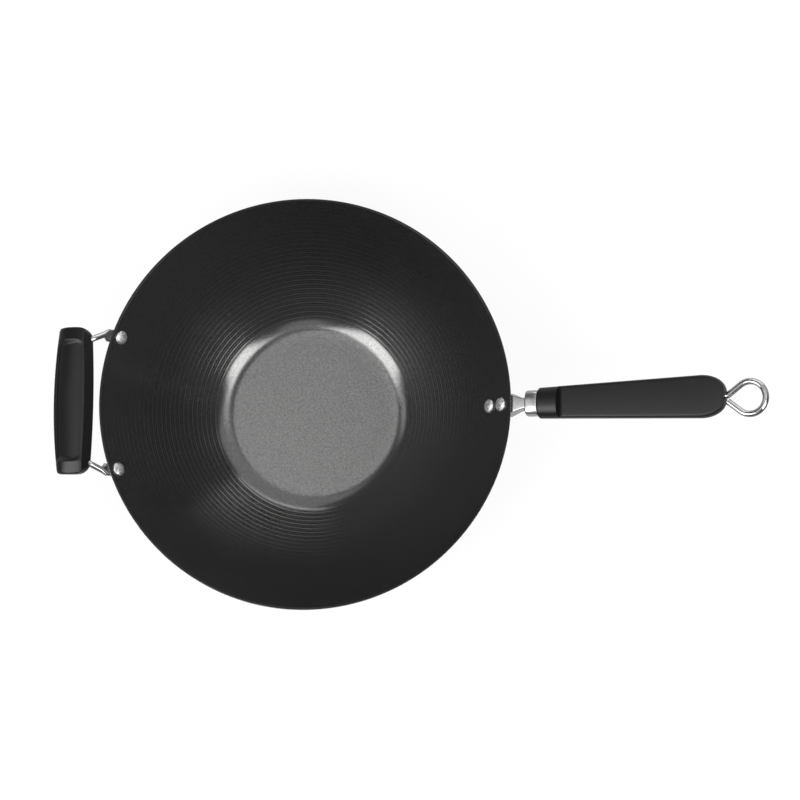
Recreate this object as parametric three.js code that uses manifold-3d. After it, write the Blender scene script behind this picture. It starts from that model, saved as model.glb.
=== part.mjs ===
// Flat-bottom wok: a pressed steel pan with a long handle and a helper handle.
// Millimetres, +Z up. The origin is the middle of the base's underside, and +X points along the long handle.
import * as THREE from 'three';
import { mergeVertices } from 'three/addons/utils/BufferGeometryUtils.js';
import Module from 'manifold-3d';

const wasm = await Module();
wasm.setup();

// Gap between faces that lie on each other, and round a shank in its hole
const seatGap = 0.3;
const boreGap = 0.3;

// Pan, one round of steel sheet: outside sizes
const rimDiameter = 355;
const panHeight = 98;
const panSheet = 1.5;
const baseDiameter = 140;
const baseCornerRadius = 29.5;
const wallRadius = 560;

// Rivets, with a dome head inside the pan and a formed tail outside
const rivetShankDiameter = 5;
const rivetHeadDiameter = 11.9;
const rivetHeadHeight = 2.6;
const rivetTailDiameter = 9;
const rivetTailHeight = 2;
const rivetHoleLength = 20;

// Line of the long handle: its rise in degrees, and its drop below the rim where it passes the rim's radius
const handleRise = 21;
const handleDrop = 8.65;

// Bracket of the long handle, a channel of folded sheet with a foot down the wall
const bracketSheet = 1.4;
const bracketRootTopWidth = 15.3;
const bracketRootBottomWidth = 20.2;
const bracketNeckTopWidth = 7;
const bracketNeckBottomWidth = 10.2;
const bracketTop = 5.8;
const bracketRootDepth = 7;
const bracketNeckDepth = 5;
const bracketTaperStart = 2;
const bracketTaperLength = 11;
const bracketFlangeLead = 4;
const bracketNeckLength = 13;
const bracketFootWidth = 20;
const bracketFootLength = 33;
const bracketFootCorner = 6;
const longRivetBelowRim = 12.8;
const longRivetSpacing = 16;

// Nut in the bracket, and the threaded end of the hanging eye's shank
const nutAcrossFlats = 8;
const nutThickness = 4;
const nutFromTaperEnd = 8;
const threadDiameter = 5;
const threadPastNut = 1.5;
const threadPastNeck = 1;

// Ferrule, an oval cap over the nose of the grip
const ferruleLength = 11.1;
const ferruleWidth = 22.2;
const ferruleHeight = 17;
const ferruleWall = 1;
const ferruleRounding = 1.6;
const ferruleSquareness = 3;
const ferrulePastTaper = 1.8;

// Grip of the long handle: an oval collar, then a paddle with a lower, flatter top and a round end
const gripLength = 165.5;
const gripStartWidth = 26.4;
const gripEndWidth = 36.2;
const gripEdge = 0.9;
const collarHeight = 18.4;
const collarLength = 18.6;
const collarStepLength = 2.4;
const collarSquareness = 3;
const paddleTop = 6.4;
const paddleBottom = 8.4;
const paddleTopSquareness = 5;
const paddleBottomSquareness = 2.5;
const gripEndLength = 20.5;
const gripTipWidth = 11;
const gripTipHeight = 9;

// Hanging eye, a wire loop on the end of the shank
const eyeWireDiameter = 5.5;
const eyeLoopRadius = 13.6;
const eyeLoopFromTip = 21.4;
const eyeLoopOffset = 2.3;
const eyeBendFromTip = 2;
const eyeBendLength = 1.6;
const eyeEndTrim = 0.6;

// Bracket of the helper handle, a round bar with two flattened feet
const barDiameter = 5.4;
const barFootWidth = 11;
const barFootThickness = 3;
const barFootBelowRivet = 9.5;
const barFootAboveRivet = 12.5;
const barFootRounding = 2.4;
const barFlareLength = 3;
const barBendLength = 4;
const helperRivetBelowRim = 9.6;
// Distances in from each end of the helper grip to the bar's rivet, its entry into the grip and its last bend
const helperRivetFromEnd = 5.73;
const barEntryFromEnd = 9.1;
const barCrossFromEnd = 14.7;

// Grip of the helper handle, split level with the bar into an upper and a lower half
const helperGripLevel = 107;
const helperGripFromRim = 3.4;
const helperGripWidth = 34.2;
const helperGripLength = 126.6;
const helperInnerBow = 2;
const helperOuterBow = 4.2;
const helperRidgeHeight = 11;
const helperRidgeInset = 6.2;
const helperOuterEdgeDrop = 1;
const helperFloorDepth = 9;
const helperFloorInset = 4;
const helperFloorOuterInset = 5;
const helperFloorEndInset = 3;
const helperInnerCorner = 10;
const helperOuterCorner = 3;
const helperEndRounding = 1.6;
const helperScoopFromEnd = 11.3;
const helperScoopDepth = 2.2;
const helperScoopRamp = 4;
// Share of the top's width over which the scoop deepens from each side
const helperScoopSide = 0.5;
// Shares of the depth where the inner and the outer side turn in towards the floor
const helperInnerKnee = 0.5;
const helperOuterKnee = 0.3;
const helperKneeInset = 1;
const barFromInnerEdge = 12.3;

// Screws from below that hold the two halves of the helper grip together
const screwShankDiameter = 4;
const screwHeadDiameter = 7.4;
const screwHeadHeight = 2.6;
const screwHeadRounding = 0.9;
const screwIntoUpper = 5;
const screwSeatDepth = 4.5;
const screwFromEnd = 33.3;
const screwFromInnerEdge = 23;
const screwSlotWidth = 1;
const screwSlotDepth = 1.2;

// Fineness of the round shapes
const panSides = 80;
const ovalSides = 32;
const roundSides = 16;
const wireSides = 12;
const wallSteps = 10;
const arcSteps = 6;
const loopSteps = 26;

const coatedSteel = { color: 0x2a2a2b, roughness: 0.5, metalness: 0.3 };
const brightSteel = { color: 0xd6d6d4, roughness: 0.16, metalness: 1 };
const rivetAluminium = { color: 0xcbcbc8, roughness: 0.34, metalness: 1 };
const blackMoulding = { color: 0x29292b, roughness: 0.55, metalness: 0 };

const { clamp, degToRad, lerp, smoothstep } = THREE.MathUtils;
const quarter = Math.PI / 2;
const ellipse = 2;
const vector = (x, y, z) => new THREE.Vector3(x, y, z);
const range = (count) => Array.from({ length: count }, (_, i) => i);

// Turns a closed three.js geometry into a solid that can be joined and cut.
function solid(geometry) {
  const bare = geometry.clone();
  bare.deleteAttribute('normal');
  bare.deleteAttribute('uv');
  const merged = mergeVertices(bare);
  const corners = merged.index.array;
  const kept = [];
  for (let i = 0; i < corners.length; i += 3) {
    const [a, b, c] = corners.slice(i, i + 3);
    if (a !== b && b !== c && c !== a) kept.push(a, b, c);
  }
  const vertProperties = merged.attributes.position.array;
  return new wasm.Manifold(new wasm.Mesh({ numProp: 3, vertProperties, triVerts: new Uint32Array(kept) }));
}

// Gives a solid back as a three.js geometry.
function shapeOf(body) {
  const { vertProperties, triVerts } = body.getMesh();
  const geometry = new THREE.BufferGeometry();
  geometry.setAttribute('position', new THREE.BufferAttribute(vertProperties, 3));
  geometry.setIndex(new THREE.BufferAttribute(triVerts, 1));
  return geometry;
}

// Takes tools out of a body.
function cut(body, tools) {
  return tools.reduce((rest, tool) => rest.subtract(solid(tool)), body);
}

// Stretches a closed skin over a row of loops with the same number of points, and closes both ends.
function skin(loops) {
  const count = loops[0].length;
  const middle = (loop) => loop.reduce((sum, point) => sum.add(point), vector(0, 0, 0)).divideScalar(count);
  const last = (loops.length - 1) * count;
  const index = [];
  for (const i of range(count)) {
    const next = (i + 1) % count;
    for (let row = 0; row < last; row += count) {
      index.push(row + i, row + next, row + count + next);
      index.push(row + i, row + count + next, row + count + i);
    }
    index.push(last + count, next, i);
    index.push(last + count + 1, last + i, last + next);
  }
  const points = [...loops.flat(), middle(loops[0]), middle(loops.at(-1))];
  return new THREE.BufferGeometry().setFromPoints(points).setIndex(index);
}

// Oval loop square to the x axis. A squareness of 2 is an ellipse, and more fills its corners.
function ovalLoop(x, halfWidth, above, squareAbove, below = above, squareBelow = squareAbove) {
  return range(ovalSides).map((i) => {
    const angle = (i / ovalSides) * 2 * Math.PI;
    const [side, rise] = [Math.cos(angle), Math.sin(angle)];
    const [height, square] = rise > 0 ? [above, squareAbove] : [below, squareBelow];
    const y = halfWidth * Math.sign(side) * Math.abs(side) ** (2 / square);
    const z = height * Math.sign(rise) * Math.abs(rise) ** (2 / square);
    return vector(x, y, z);
  });
}

// Four-cornered loop square to the x axis, from its widths and its heights above and below the axis.
function channelLoop(x, topWidth, bottomWidth, top, bottom) {
  const corners = [[bottomWidth, -bottom], [topWidth, top], [-topWidth, top], [-bottomWidth, -bottom]];
  return corners.map(([width, z]) => vector(x, width / 2, z));
}

// Closed tube through stations, each a centre, a direction for its thickness and two half sizes.
function tube(stations) {
  return skin(stations.map(({ centre, out, half, thick = half }, k) => {
    const before = stations[Math.max(k - 1, 0)].centre;
    const after = stations[Math.min(k + 1, stations.length - 1)].centre;
    const along = after.clone().sub(before).normalize();
    const up = out.clone().addScaledVector(along, -out.dot(along)).normalize();
    const across = up.clone().cross(along);
    return range(wireSides).map((i) => {
      const angle = (i / wireSides) * 2 * Math.PI;
      return centre.clone()
        .addScaledVector(across, half * Math.cos(angle))
        .addScaledVector(up, thick * Math.sin(angle));
    });
  }));
}

// Solid of revolution about the z axis from points (radius, height), listed from the bottom up.
function turned(points, sides = roundSides) {
  const profile = points.map(([r, z]) => new THREE.Vector2(r, z));
  return new THREE.LatheGeometry(profile, sides).rotateX(quarter);
}

// Round rod along the x axis.
function rodAlongX(from, to, radius) {
  const length = to - from;
  return new THREE.CylinderGeometry(radius, radius, length, roundSides)
    .rotateZ(quarter)
    .translate(from + length / 2, 0, 0);
}

// Points of an arc in a plane, from its centre, its radius and its two angles.
function arc(x, y, radius, from, to, steps = arcSteps) {
  return range(steps + 1).map((i) => {
    const angle = lerp(from, to, i / steps);
    return [x + radius * Math.cos(angle), y + radius * Math.sin(angle)];
  });
}

// Rounds the inner corners of a path, each over a length on both sides of it.
function rounded(points, length) {
  const inner = points.slice(1, -1).flatMap((point, k) => {
    const [before, after] = [points[k], points[k + 2]].map(
      (other) => point.clone().addScaledVector(other.clone().sub(point).normalize(), length),
    );
    return new THREE.QuadraticBezierCurve3(before, point, after).getPoints(arcSteps);
  });
  return [points[0], ...inner, points.at(-1)];
}

function piece(name, geometry, finish) {
  const mesh = new THREE.Mesh(geometry, new THREE.MeshStandardMaterial(finish));
  mesh.name = name;
  return mesh;
}

// Group placed by a frame.
function placedBy(frame, ...pieces) {
  const group = new THREE.Group();
  group.applyMatrix4(frame);
  return group.add(...pieces);
}

// The wall's arc passes through the rim and runs smoothly into the arc round the base, so its centre is
// where two circles meet, one about the rim and one about the centre of the base's corner.
const rimRadius = rimDiameter / 2;
const rim = new THREE.Vector2(rimRadius, panHeight);
const corner = new THREE.Vector2(baseDiameter / 2, baseCornerRadius);
const chord = corner.clone().sub(rim);
const radiusToCorner = wallRadius - baseCornerRadius;
const alongChord = (wallRadius ** 2 - radiusToCorner ** 2 + chord.lengthSq()) / (2 * chord.length());
const fromChord = Math.sqrt(wallRadius ** 2 - alongChord ** 2);
const chordWay = chord.clone().normalize();
const wallCentre = rim.clone()
  .addScaledVector(chordWay, alongChord)
  .addScaledVector(new THREE.Vector2(chordWay.y, -chordWay.x), fromChord);
const rimSlope = Math.asin((rimRadius - wallCentre.x) / wallRadius);

// Frame on the outside of the wall: x up the wall, z straight out of it.
function wallFrame(azimuth, belowRim) {
  const slope = rimSlope - belowRim / wallRadius;
  const up = vector(Math.cos(slope), 0, Math.sin(slope));
  const out = vector(Math.sin(slope), 0, -Math.cos(slope));
  const frame = new THREE.Matrix4().makeBasis(up, out.clone().cross(up), out);
  frame.setPosition(vector(wallCentre.x, 0, wallCentre.y).addScaledVector(out, wallRadius));
  return frame.premultiply(new THREE.Matrix4().makeRotationZ(azimuth));
}

const footFrame = wallFrame(0, longRivetBelowRim + longRivetSpacing / 2);
// The helper handle's bar, screws and scoop keep their distances from the ends of its grip.
const helperHalf = helperGripLength / 2;
const helperRivetHalfSpan = helperHalf - helperRivetFromEnd;
const barEntryHalfSpan = helperHalf - barEntryFromEnd;
const barCrossHalfSpan = helperHalf - barCrossFromEnd;
const screwHalfSpan = helperHalf - screwFromEnd;
const scoopHalf = helperHalf - helperScoopFromEnd;
// Each foot of the bar lies flat on the wall, turned until it points straight out seen from above.
const helperRivetRadius = vector(0, 0, 0).setFromMatrixPosition(wallFrame(0, helperRivetBelowRim)).x;
const barFootAzimuth = Math.asin(helperRivetHalfSpan / helperRivetRadius);
const barFootTurn = Math.atan(Math.cos(rimSlope) * Math.tan(barFootAzimuth));
const barFootFrames = [1, -1].map((side) => wallFrame(side * barFootAzimuth, helperRivetBelowRim)
  .multiply(new THREE.Matrix4().makeRotationZ(side * barFootTurn)));
const longRivetFrames = [1, -1].map((side) => {
  const upTheFoot = new THREE.Matrix4().makeTranslation(side * longRivetSpacing / 2, 0, 0);
  return footFrame.clone().multiply(upTheFoot);
});

// Hole for a rivet through the wall and what lies on it.
function rivetHole(frame) {
  const radius = rivetShankDiameter / 2 + boreGap;
  return new THREE.CylinderGeometry(radius, radius, rivetHoleLength, roundSides)
    .rotateX(quarter)
    .applyMatrix4(frame);
}

// Line of the sheet at a depth under its outer surface, from the flat base to the level rim.
function panLine(inset) {
  const join = Math.atan2(corner.y - wallCentre.y, corner.x - wallCentre.x);
  const top = Math.asin((panHeight - wallCentre.y) / (wallRadius - inset));
  return [
    ...arc(corner.x, corner.y, baseCornerRadius - inset, -quarter, join),
    ...arc(wallCentre.x, wallCentre.y, wallRadius - inset, join, top, wallSteps).slice(1),
  ];
}

function panShell() {
  const sheet = turned([[0, 0], ...panLine(0), ...panLine(panSheet).reverse(), [0, panSheet]], panSides);
  const turnedHelperFrames = barFootFrames.map((frame) => helperFrame.clone().multiply(frame));
  const holes = [...longRivetFrames, ...turnedHelperFrames].map(rivetHole);
  return piece('pan_shell', shapeOf(cut(solid(sheet), holes)), coatedSteel);
}

// Rivet through the wall and a plate that lies on the outside of it.
function rivet(name, plate) {
  const headRadius = rivetHeadDiameter / 2;
  const tailRadius = rivetTailDiameter / 2;
  const shankRadius = rivetShankDiameter / 2;
  const hollowOfWall = headRadius ** 2 / rimDiameter;
  const headSeat = -panSheet - hollowOfWall - seatGap;
  const tailSeat = plate + 2 * seatGap;
  const dome = (radius, height) => arc(0, 0, 1, quarter, 0).map(([r, h]) => [radius * r, height * h]);
  const head = dome(headRadius, rivetHeadHeight).map(([r, h]) => [r, headSeat - h]);
  const tail = dome(tailRadius, rivetTailHeight).map(([r, h]) => [r, tailSeat + h]).reverse();
  const shank = [[shankRadius, headSeat], [shankRadius, tailSeat]];
  return piece(name, turned([...head, ...shank, ...tail]), rivetAluminium);
}

// Frame of the long handle: x along its axis, z square to it and up, with its origin under the rim.
const handleFrame = new THREE.Matrix4()
  .makeRotationY(-degToRad(handleRise))
  .setPosition(rimRadius, 0, panHeight - handleDrop);
const footInHandle = handleFrame.clone().invert().multiply(footFrame);
const taperEnd = bracketTaperStart + bracketTaperLength;
const neckEnd = taperEnd + bracketNeckLength;
const nutFront = taperEnd - nutFromTaperEnd;
const ferruleStart = taperEnd + ferrulePastTaper;
const gripStart = ferruleStart + ferruleLength + seatGap;
const gripTip = gripStart + gripLength;

// Row of channel loops of the bracket, all moved inwards by an inset, from one place to another.
function bracketLoops(from, to, inset, bottomInset = inset) {
  const at = (x) => {
    const share = clamp((x - bracketTaperStart) / bracketTaperLength, 0, 1);
    const flangeShare = clamp((x - bracketTaperStart + bracketFlangeLead) / bracketTaperLength, 0, 1);
    const topWidth = lerp(bracketRootTopWidth, bracketNeckTopWidth, share) - 2 * inset;
    const bottomWidth = lerp(bracketRootBottomWidth, bracketNeckBottomWidth, flangeShare) - 2 * inset;
    const bottom = lerp(bracketRootDepth, bracketNeckDepth, flangeShare) - bottomInset;
    return channelLoop(x, topWidth, bottomWidth, bracketTop - inset, bottom);
  };
  const ends = [bracketTaperStart, taperEnd];
  const stops = [...ends, ...ends.map((x) => x - bracketFlangeLead)].filter((x) => x > from && x < to);
  return skin([from, ...stops.sort((a, b) => a - b), to].map(at));
}

// Block that fills the wall's side of a plane at a distance from the wall's outside.
function wallBlock(distance) {
  const size = rimDiameter;
  return new THREE.BoxGeometry(size, size, size)
    .translate(0, 0, distance - size / 2)
    .applyMatrix4(footInHandle);
}

function bracketFoot() {
  const [half, long, round] = [bracketFootWidth / 2, bracketFootLength / 2, bracketFootCorner];
  const outline = new THREE.Shape()
    .moveTo(long, -half)
    .lineTo(long, half)
    .lineTo(round - long, half)
    .absarc(round - long, half - round, round, quarter, Math.PI)
    .lineTo(-long, round - half)
    .absarc(round - long, round - half, round, Math.PI, 3 * quarter);
  const flat = { depth: bracketSheet, bevelEnabled: false, curveSegments: arcSteps };
  return new THREE.ExtrudeGeometry(outline, flat)
    .translate(0, 0, seatGap)
    .applyMatrix4(footInHandle);
}

// The channel is hollow on both sides of a cross wall, which the nut pulls against.
function longHandleBracket() {
  const root = -bracketFootLength;
  const open = -bracketRootBottomWidth;
  const outer = cut(solid(bracketLoops(root, neckEnd, 0)), [wallBlock(seatGap)]);
  const crossWall = nutFront + seatGap;
  const chamber = cut(
    solid(bracketLoops(root, crossWall, bracketSheet, open)),
    [wallBlock(seatGap + bracketSheet)],
  );
  const neck = solid(bracketLoops(crossWall + bracketSheet, neckEnd + seatGap, bracketSheet, open));
  const shankHole = rodAlongX(nutFront, neckEnd, threadDiameter / 2 + boreGap);
  const rivetHoles = longRivetFrames.map((frame) => rivetHole(handleFrame.clone().invert().multiply(frame)));
  const folded = outer.subtract(chamber).subtract(neck).add(solid(bracketFoot()));
  return piece('long_handle_bracket', shapeOf(cut(folded, [shankHole, ...rivetHoles])), brightSteel);
}

function longHandleNut() {
  const corners = nutAcrossFlats / Math.sqrt(3);
  const hexagon = new THREE.CylinderGeometry(corners, corners, nutThickness, 6)
    .rotateY(quarter)
    .rotateZ(quarter)
    .translate(nutFront - nutThickness / 2, 0, 0);
  const bore = rodAlongX(nutFront - 2 * nutThickness, nutFront + nutThickness, threadDiameter / 2 + boreGap);
  return piece('long_handle_nut', shapeOf(cut(solid(hexagon), [bore])), brightSteel);
}

// Opening that the bracket's neck passes through with a gap all round.
function neckOpening(from, to) {
  const loop = (x) => channelLoop(
    x,
    bracketNeckTopWidth + 2 * boreGap,
    bracketNeckBottomWidth + 2 * boreGap,
    bracketTop + boreGap,
    bracketNeckDepth + boreGap,
  );
  return skin([loop(from), loop(to)]);
}

function longHandleFerrule() {
  const [half, high] = [ferruleWidth / 2, ferruleHeight / 2];
  const end = ferruleStart + ferruleLength;
  const shoulder = arc(0, 0, ferruleRounding, Math.PI, quarter).map(([x, y]) => {
    const inset = ferruleRounding - y;
    return ovalLoop(ferruleStart + ferruleRounding + x, half - inset, high - inset, ferruleSquareness);
  });
  const outside = skin([...shoulder, ovalLoop(end, half, high, ferruleSquareness)]);
  const hollow = skin([ferruleStart + ferruleWall, end + ferruleWall].map(
    (x) => ovalLoop(x, half - ferruleWall, high - ferruleWall, ferruleSquareness),
  ));
  const opening = neckOpening(ferruleStart - ferruleWall, end);
  return piece('long_handle_ferrule', shapeOf(cut(solid(outside), [hollow, opening])), brightSteel);
}

function longHandleGrip() {
  const noseStart = ferruleStart + ferruleWall + seatGap;
  const noseInset = ferruleWall + boreGap;
  const nose = [noseStart, gripStart].map(
    (x) => ovalLoop(x, ferruleWidth / 2 - noseInset, ferruleHeight / 2 - noseInset, ferruleSquareness),
  );
  const roundEndStart = gripTip - gripEndLength;
  const straight = roundEndStart - gripStart;
  const halfWidth = (x) => lerp(gripStartWidth, gripEndWidth, (x - gripStart) / straight) / 2;
  const collar = (x, inset) => ovalLoop(x, halfWidth(x) - inset, collarHeight / 2 - inset, collarSquareness);
  const collarEnd = gripStart + collarLength;
  const paddleStart = collarEnd + collarStepLength;
  // Loop of the paddle: full size while left is 1, and an ellipse of the tip's size where left is 0
  const paddle = (x, widest, left) => ovalLoop(
    x,
    lerp(gripTipWidth / 2, widest, left),
    lerp(gripTipHeight / 2, paddleTop, left),
    lerp(ellipse, paddleTopSquareness, left),
    lerp(gripTipHeight / 2, paddleBottom, left),
    lerp(ellipse, paddleBottomSquareness, left),
  );
  const roundEnd = arc(0, 0, 1, quarter, 0).map(
    ([reach, left]) => paddle(roundEndStart + gripEndLength * reach, gripEndWidth / 2, left),
  );
  const body = skin([
    ...nose,
    collar(gripStart, gripEdge),
    collar(gripStart + gripEdge, 0),
    collar(collarEnd, 0),
    paddle(paddleStart, halfWidth(paddleStart), 1),
    ...roundEnd,
  ]);
  const bore = rodAlongX(noseStart - seatGap, gripTip + eyeWireDiameter, eyeWireDiameter / 2 + boreGap);
  const socket = neckOpening(noseStart - seatGap, neckEnd + seatGap);
  return piece('long_handle_grip', shapeOf(cut(solid(body), [bore, socket])), blackMoulding);
}

// The shank lies on the handle's axis. At its outer end it bends to one side and runs round the loop, and
// its cut end comes back beside the bend.
function hangingEye() {
  const wire = eyeWireDiameter / 2;
  const bend = gripTip + eyeBendFromTip;
  const loopX = gripTip + eyeLoopFromTip;
  const toLoop = Math.hypot(loopX - bend, eyeLoopOffset);
  const legAngle = Math.asin(eyeLoopRadius / toLoop) - Math.atan2(eyeLoopOffset, loopX - bend);
  const loop = arc(loopX, -eyeLoopOffset, eyeLoopRadius, quarter + legAngle, -quarter - legAngle, loopSteps);
  const legEnd = [
    bend + eyeEndTrim * Math.cos(legAngle),
    -2 * eyeLoopOffset - eyeEndTrim * Math.sin(legAngle),
  ];
  const start = nutFront - nutThickness - threadPastNut;
  const threadEnd = neckEnd + threadPastNeck;
  const bent = rounded([[threadEnd, 0], [bend, 0], loop[0]].map(([x, y]) => vector(x, y, 0)), eyeBendLength);
  const path = [...bent.slice(1, -1), ...[...loop, legEnd].map(([x, y]) => vector(x, y, 0))];
  const out = vector(0, 0, 1);
  const thread = [start, threadEnd].map((x) => ({ centre: vector(x, 0, 0), out, half: threadDiameter / 2 }));
  const shoulder = { centre: vector(threadEnd + boreGap, 0, 0), out, half: wire };
  const round = path.map((centre) => ({ centre, out, half: wire }));
  return piece('hanging_eye', tube([...thread, shoulder, ...round]), brightSteel);
}

// The helper handle is opposite the long one, in a frame of its own with x pointing outwards.
const helperFrame = new THREE.Matrix4().makeRotationZ(Math.PI);
const helperInnerEdge = rimRadius + helperGripFromRim;
const barX = helperInnerEdge + barFromInnerEdge;

// Path of the round part of the bar: up from one foot, through the grip and down to the other foot.
function barPath() {
  const above = barFootAboveRivet + barFlareLength;
  const tops = barFootFrames.map(
    (frame) => vector(above, 0, seatGap + barDiameter / 2).applyMatrix4(frame),
  );
  const entryX = lerp(tops[0].x, barX, (tops[0].y - barEntryHalfSpan) / (tops[0].y - barCrossHalfSpan));
  const entries = [1, -1].map((side) => vector(entryX, side * barEntryHalfSpan, helperGripLevel));
  const turns = [1, -1].map((side) => vector(barX, side * barCrossHalfSpan, helperGripLevel));
  return rounded([tops[0], entries[0], turns[0], turns[1], entries[1], tops[1]], barBendLength);
}

function barStations(half) {
  const path = barPath();
  const outs = barFootFrames.map((frame) => vector(0, 0, 1).transformDirection(frame));
  return path.map((centre, k) => {
    const out = outs[0].clone().lerp(outs[1], k / (path.length - 1));
    return { centre, out, half };
  });
}

function helperBracket() {
  const foot = (frame) => {
    const out = vector(0, 0, 1).transformDirection(frame);
    const level = seatGap + barFootThickness / 2;
    const station = (x, inset) => ({
      centre: vector(x, 0, level).applyMatrix4(frame),
      out,
      half: barFootWidth / 2 - inset,
      thick: barFootThickness / 2,
    });
    return [
      ...arc(0, 0, barFootRounding, Math.PI, quarter).map(([x, y]) => station(
        barFootRounding - barFootBelowRivet + x,
        barFootRounding - y,
      )),
      station(barFootAboveRivet, 0),
    ];
  };
  const [first, second] = barFootFrames.map(foot);
  const bar = tube([...first, ...barStations(barDiameter / 2), ...second.reverse()]);
  const holes = barFootFrames.map(rivetHole);
  return piece('helper_bracket', shapeOf(cut(solid(bar), holes)), brightSteel);
}

// Distance that a round corner takes off an edge at a place along the grip.
function cornerInset(y, radius) {
  const into = Math.max(Math.abs(y) - helperHalf + radius, 0);
  return radius - Math.sqrt(Math.max(radius ** 2 - into ** 2, 0));
}

// Loop round the helper grip at a place along it: a steep inner face up to a ridge, a top that curves down
// to the outer edge and is scooped between the ends, and a flat floor. Heights are from the split.
function helperLoop(y, inset) {
  const along = (y / helperHalf) ** 2;
  const inner = helperInnerEdge + helperInnerBow * along + cornerInset(y, helperInnerCorner) + inset;
  const outerEdge = helperInnerEdge + helperGripWidth - helperOuterBow * along;
  const outer = outerEdge - cornerInset(y, helperOuterCorner) - inset;
  const floor = inset - helperFloorDepth;
  const top = helperRidgeHeight - inset;
  const edge = -helperOuterEdgeDrop;
  const ridge = Math.max(helperInnerEdge + helperInnerBow * along + helperRidgeInset, inner + inset);
  const rampStart = scoopHalf - helperScoopRamp;
  const scoop = helperScoopDepth * (1 - smoothstep(Math.abs(y), rampStart, scoopHalf));
  const crown = arc(0, 0, 1, quarter, 0).map(([reach, left]) => {
    const across = smoothstep(reach, 0, helperScoopSide) * smoothstep(left, 0, helperScoopSide);
    return [lerp(ridge, outer, reach), lerp(edge, top, left) - scoop * across];
  });
  const section = [
    [inner + helperFloorInset, floor],
    [inner + helperKneeInset, lerp(edge, floor, helperInnerKnee)],
    [inner, edge],
    ...crown,
    [outer, lerp(edge, floor, helperOuterKnee)],
    [outer - helperFloorOuterInset, floor],
  ];
  const endTaper = helperFloorEndInset / helperHalf;
  return section.map(([x, z]) => {
    const below = clamp((edge - z) / (edge - floor), 0, 1);
    return vector(x, y * (1 - endTaper * below), helperGripLevel + z);
  });
}

// Whole helper grip, before it is split.
function helperGripBody() {
  const cornerStart = helperHalf - helperInnerCorner;
  const places = [
    0,
    scoopHalf / 2,
    scoopHalf - helperScoopRamp,
    scoopHalf - helperScoopRamp / 2,
    scoopHalf,
    ...arc(cornerStart, 0, helperInnerCorner - helperEndRounding, quarter, 0).map(([y]) => y),
  ];
  const ends = [...new Set(places)].sort((a, b) => a - b);
  const loops = [...ends.slice(1).reverse().map((y) => -y), ...ends].map((y) => helperLoop(y, 0));
  const cap = (side) => helperLoop(side * helperHalf, helperEndRounding);
  return solid(skin([cap(-1), ...loops, cap(1)]));
}

const screwX = helperInnerEdge + screwFromInnerEdge;
const screwPlaces = [1, -1].map((side) => vector(screwX, side * screwHalfSpan, 0));

// One half of the helper grip: what is left of it on one side of the split, with its half of the bar's way.
function helperGripHalf(name, side, holes) {
  const size = 2 * (rimDiameter + helperGripLength);
  const other = new THREE.BoxGeometry(size, size, size)
    .translate(0, 0, helperGripLevel + side * (seatGap - size) / 2);
  const barWay = tube(barStations(barDiameter / 2 + boreGap));
  return piece(name, shapeOf(cut(helperGripBody(), [other, barWay, ...holes])), blackMoulding);
}

// Upright round hole at each screw, between two heights from the split.
function screwHoles(diameter, from, to) {
  const radius = diameter / 2;
  return screwPlaces.map((place) => new THREE.CylinderGeometry(radius, radius, to - from, roundSides)
    .rotateX(quarter)
    .translate(place.x, place.y, helperGripLevel + (from + to) / 2));
}

function helperGripHalves() {
  const shankHole = screwShankDiameter + 2 * boreGap;
  const headHole = screwHeadDiameter + 2 * boreGap;
  const upperHoles = screwHoles(shankHole, -seatGap, screwIntoUpper + seatGap);
  const lowerHoles = [
    ...screwHoles(shankHole, -helperFloorDepth, seatGap),
    ...screwHoles(headHole, -helperFloorDepth - screwHeadHeight, -screwSeatDepth),
  ];
  return [
    helperGripHalf('helper_grip_upper', 1, upperHoles),
    helperGripHalf('helper_grip_lower', -1, lowerHoles),
  ];
}

// Screw with a slotted round head, driven upwards.
function helperScrew(name, place) {
  const seat = -screwSeatDepth - seatGap;
  const [head, shank] = [screwHeadDiameter / 2, screwShankDiameter / 2];
  const profile = [
    [0, seat - screwHeadHeight],
    [head - screwHeadRounding, seat - screwHeadHeight],
    [head, seat - screwHeadHeight + screwHeadRounding],
    [head, seat],
    [shank, seat],
    [shank, screwIntoUpper - shank],
    [0, screwIntoUpper],
  ];
  const slot = new THREE.BoxGeometry(screwHeadDiameter * 2, screwSlotWidth, screwSlotDepth * 2)
    .translate(0, 0, seat - screwHeadHeight);
  const screw = piece(name, shapeOf(cut(solid(turned(profile)), [slot])), brightSteel);
  screw.position.set(place.x, place.y, helperGripLevel);
  return screw;
}

const wok = new THREE.Group();
wok.add(
  panShell(),
  placedBy(
    handleFrame,
    longHandleBracket(),
    longHandleNut(),
    longHandleFerrule(),
    longHandleGrip(),
    hangingEye(),
  ),
  placedBy(longRivetFrames[0], rivet('long_handle_rivet_upper', bracketSheet)),
  placedBy(longRivetFrames[1], rivet('long_handle_rivet_lower', bracketSheet)),
  placedBy(
    helperFrame,
    helperBracket(),
    ...helperGripHalves(),
    placedBy(barFootFrames[0], rivet('helper_rivet_left', barFootThickness)),
    placedBy(barFootFrames[1], rivet('helper_rivet_right', barFootThickness)),
    helperScrew('helper_screw_left', screwPlaces[0]),
    helperScrew('helper_screw_right', screwPlaces[1]),
  ),
);

export default wok;
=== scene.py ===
"""Looks of the flat-bottom wok: its finished surfaces, finishes, light and camera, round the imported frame.

Sizes are in millimetres in the frame of the CAD model, unless a comment says metres, and each mesh is put
down in metres.
"""

import math

import bmesh
import bpy
import numpy as np
from mathutils import Matrix

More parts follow.
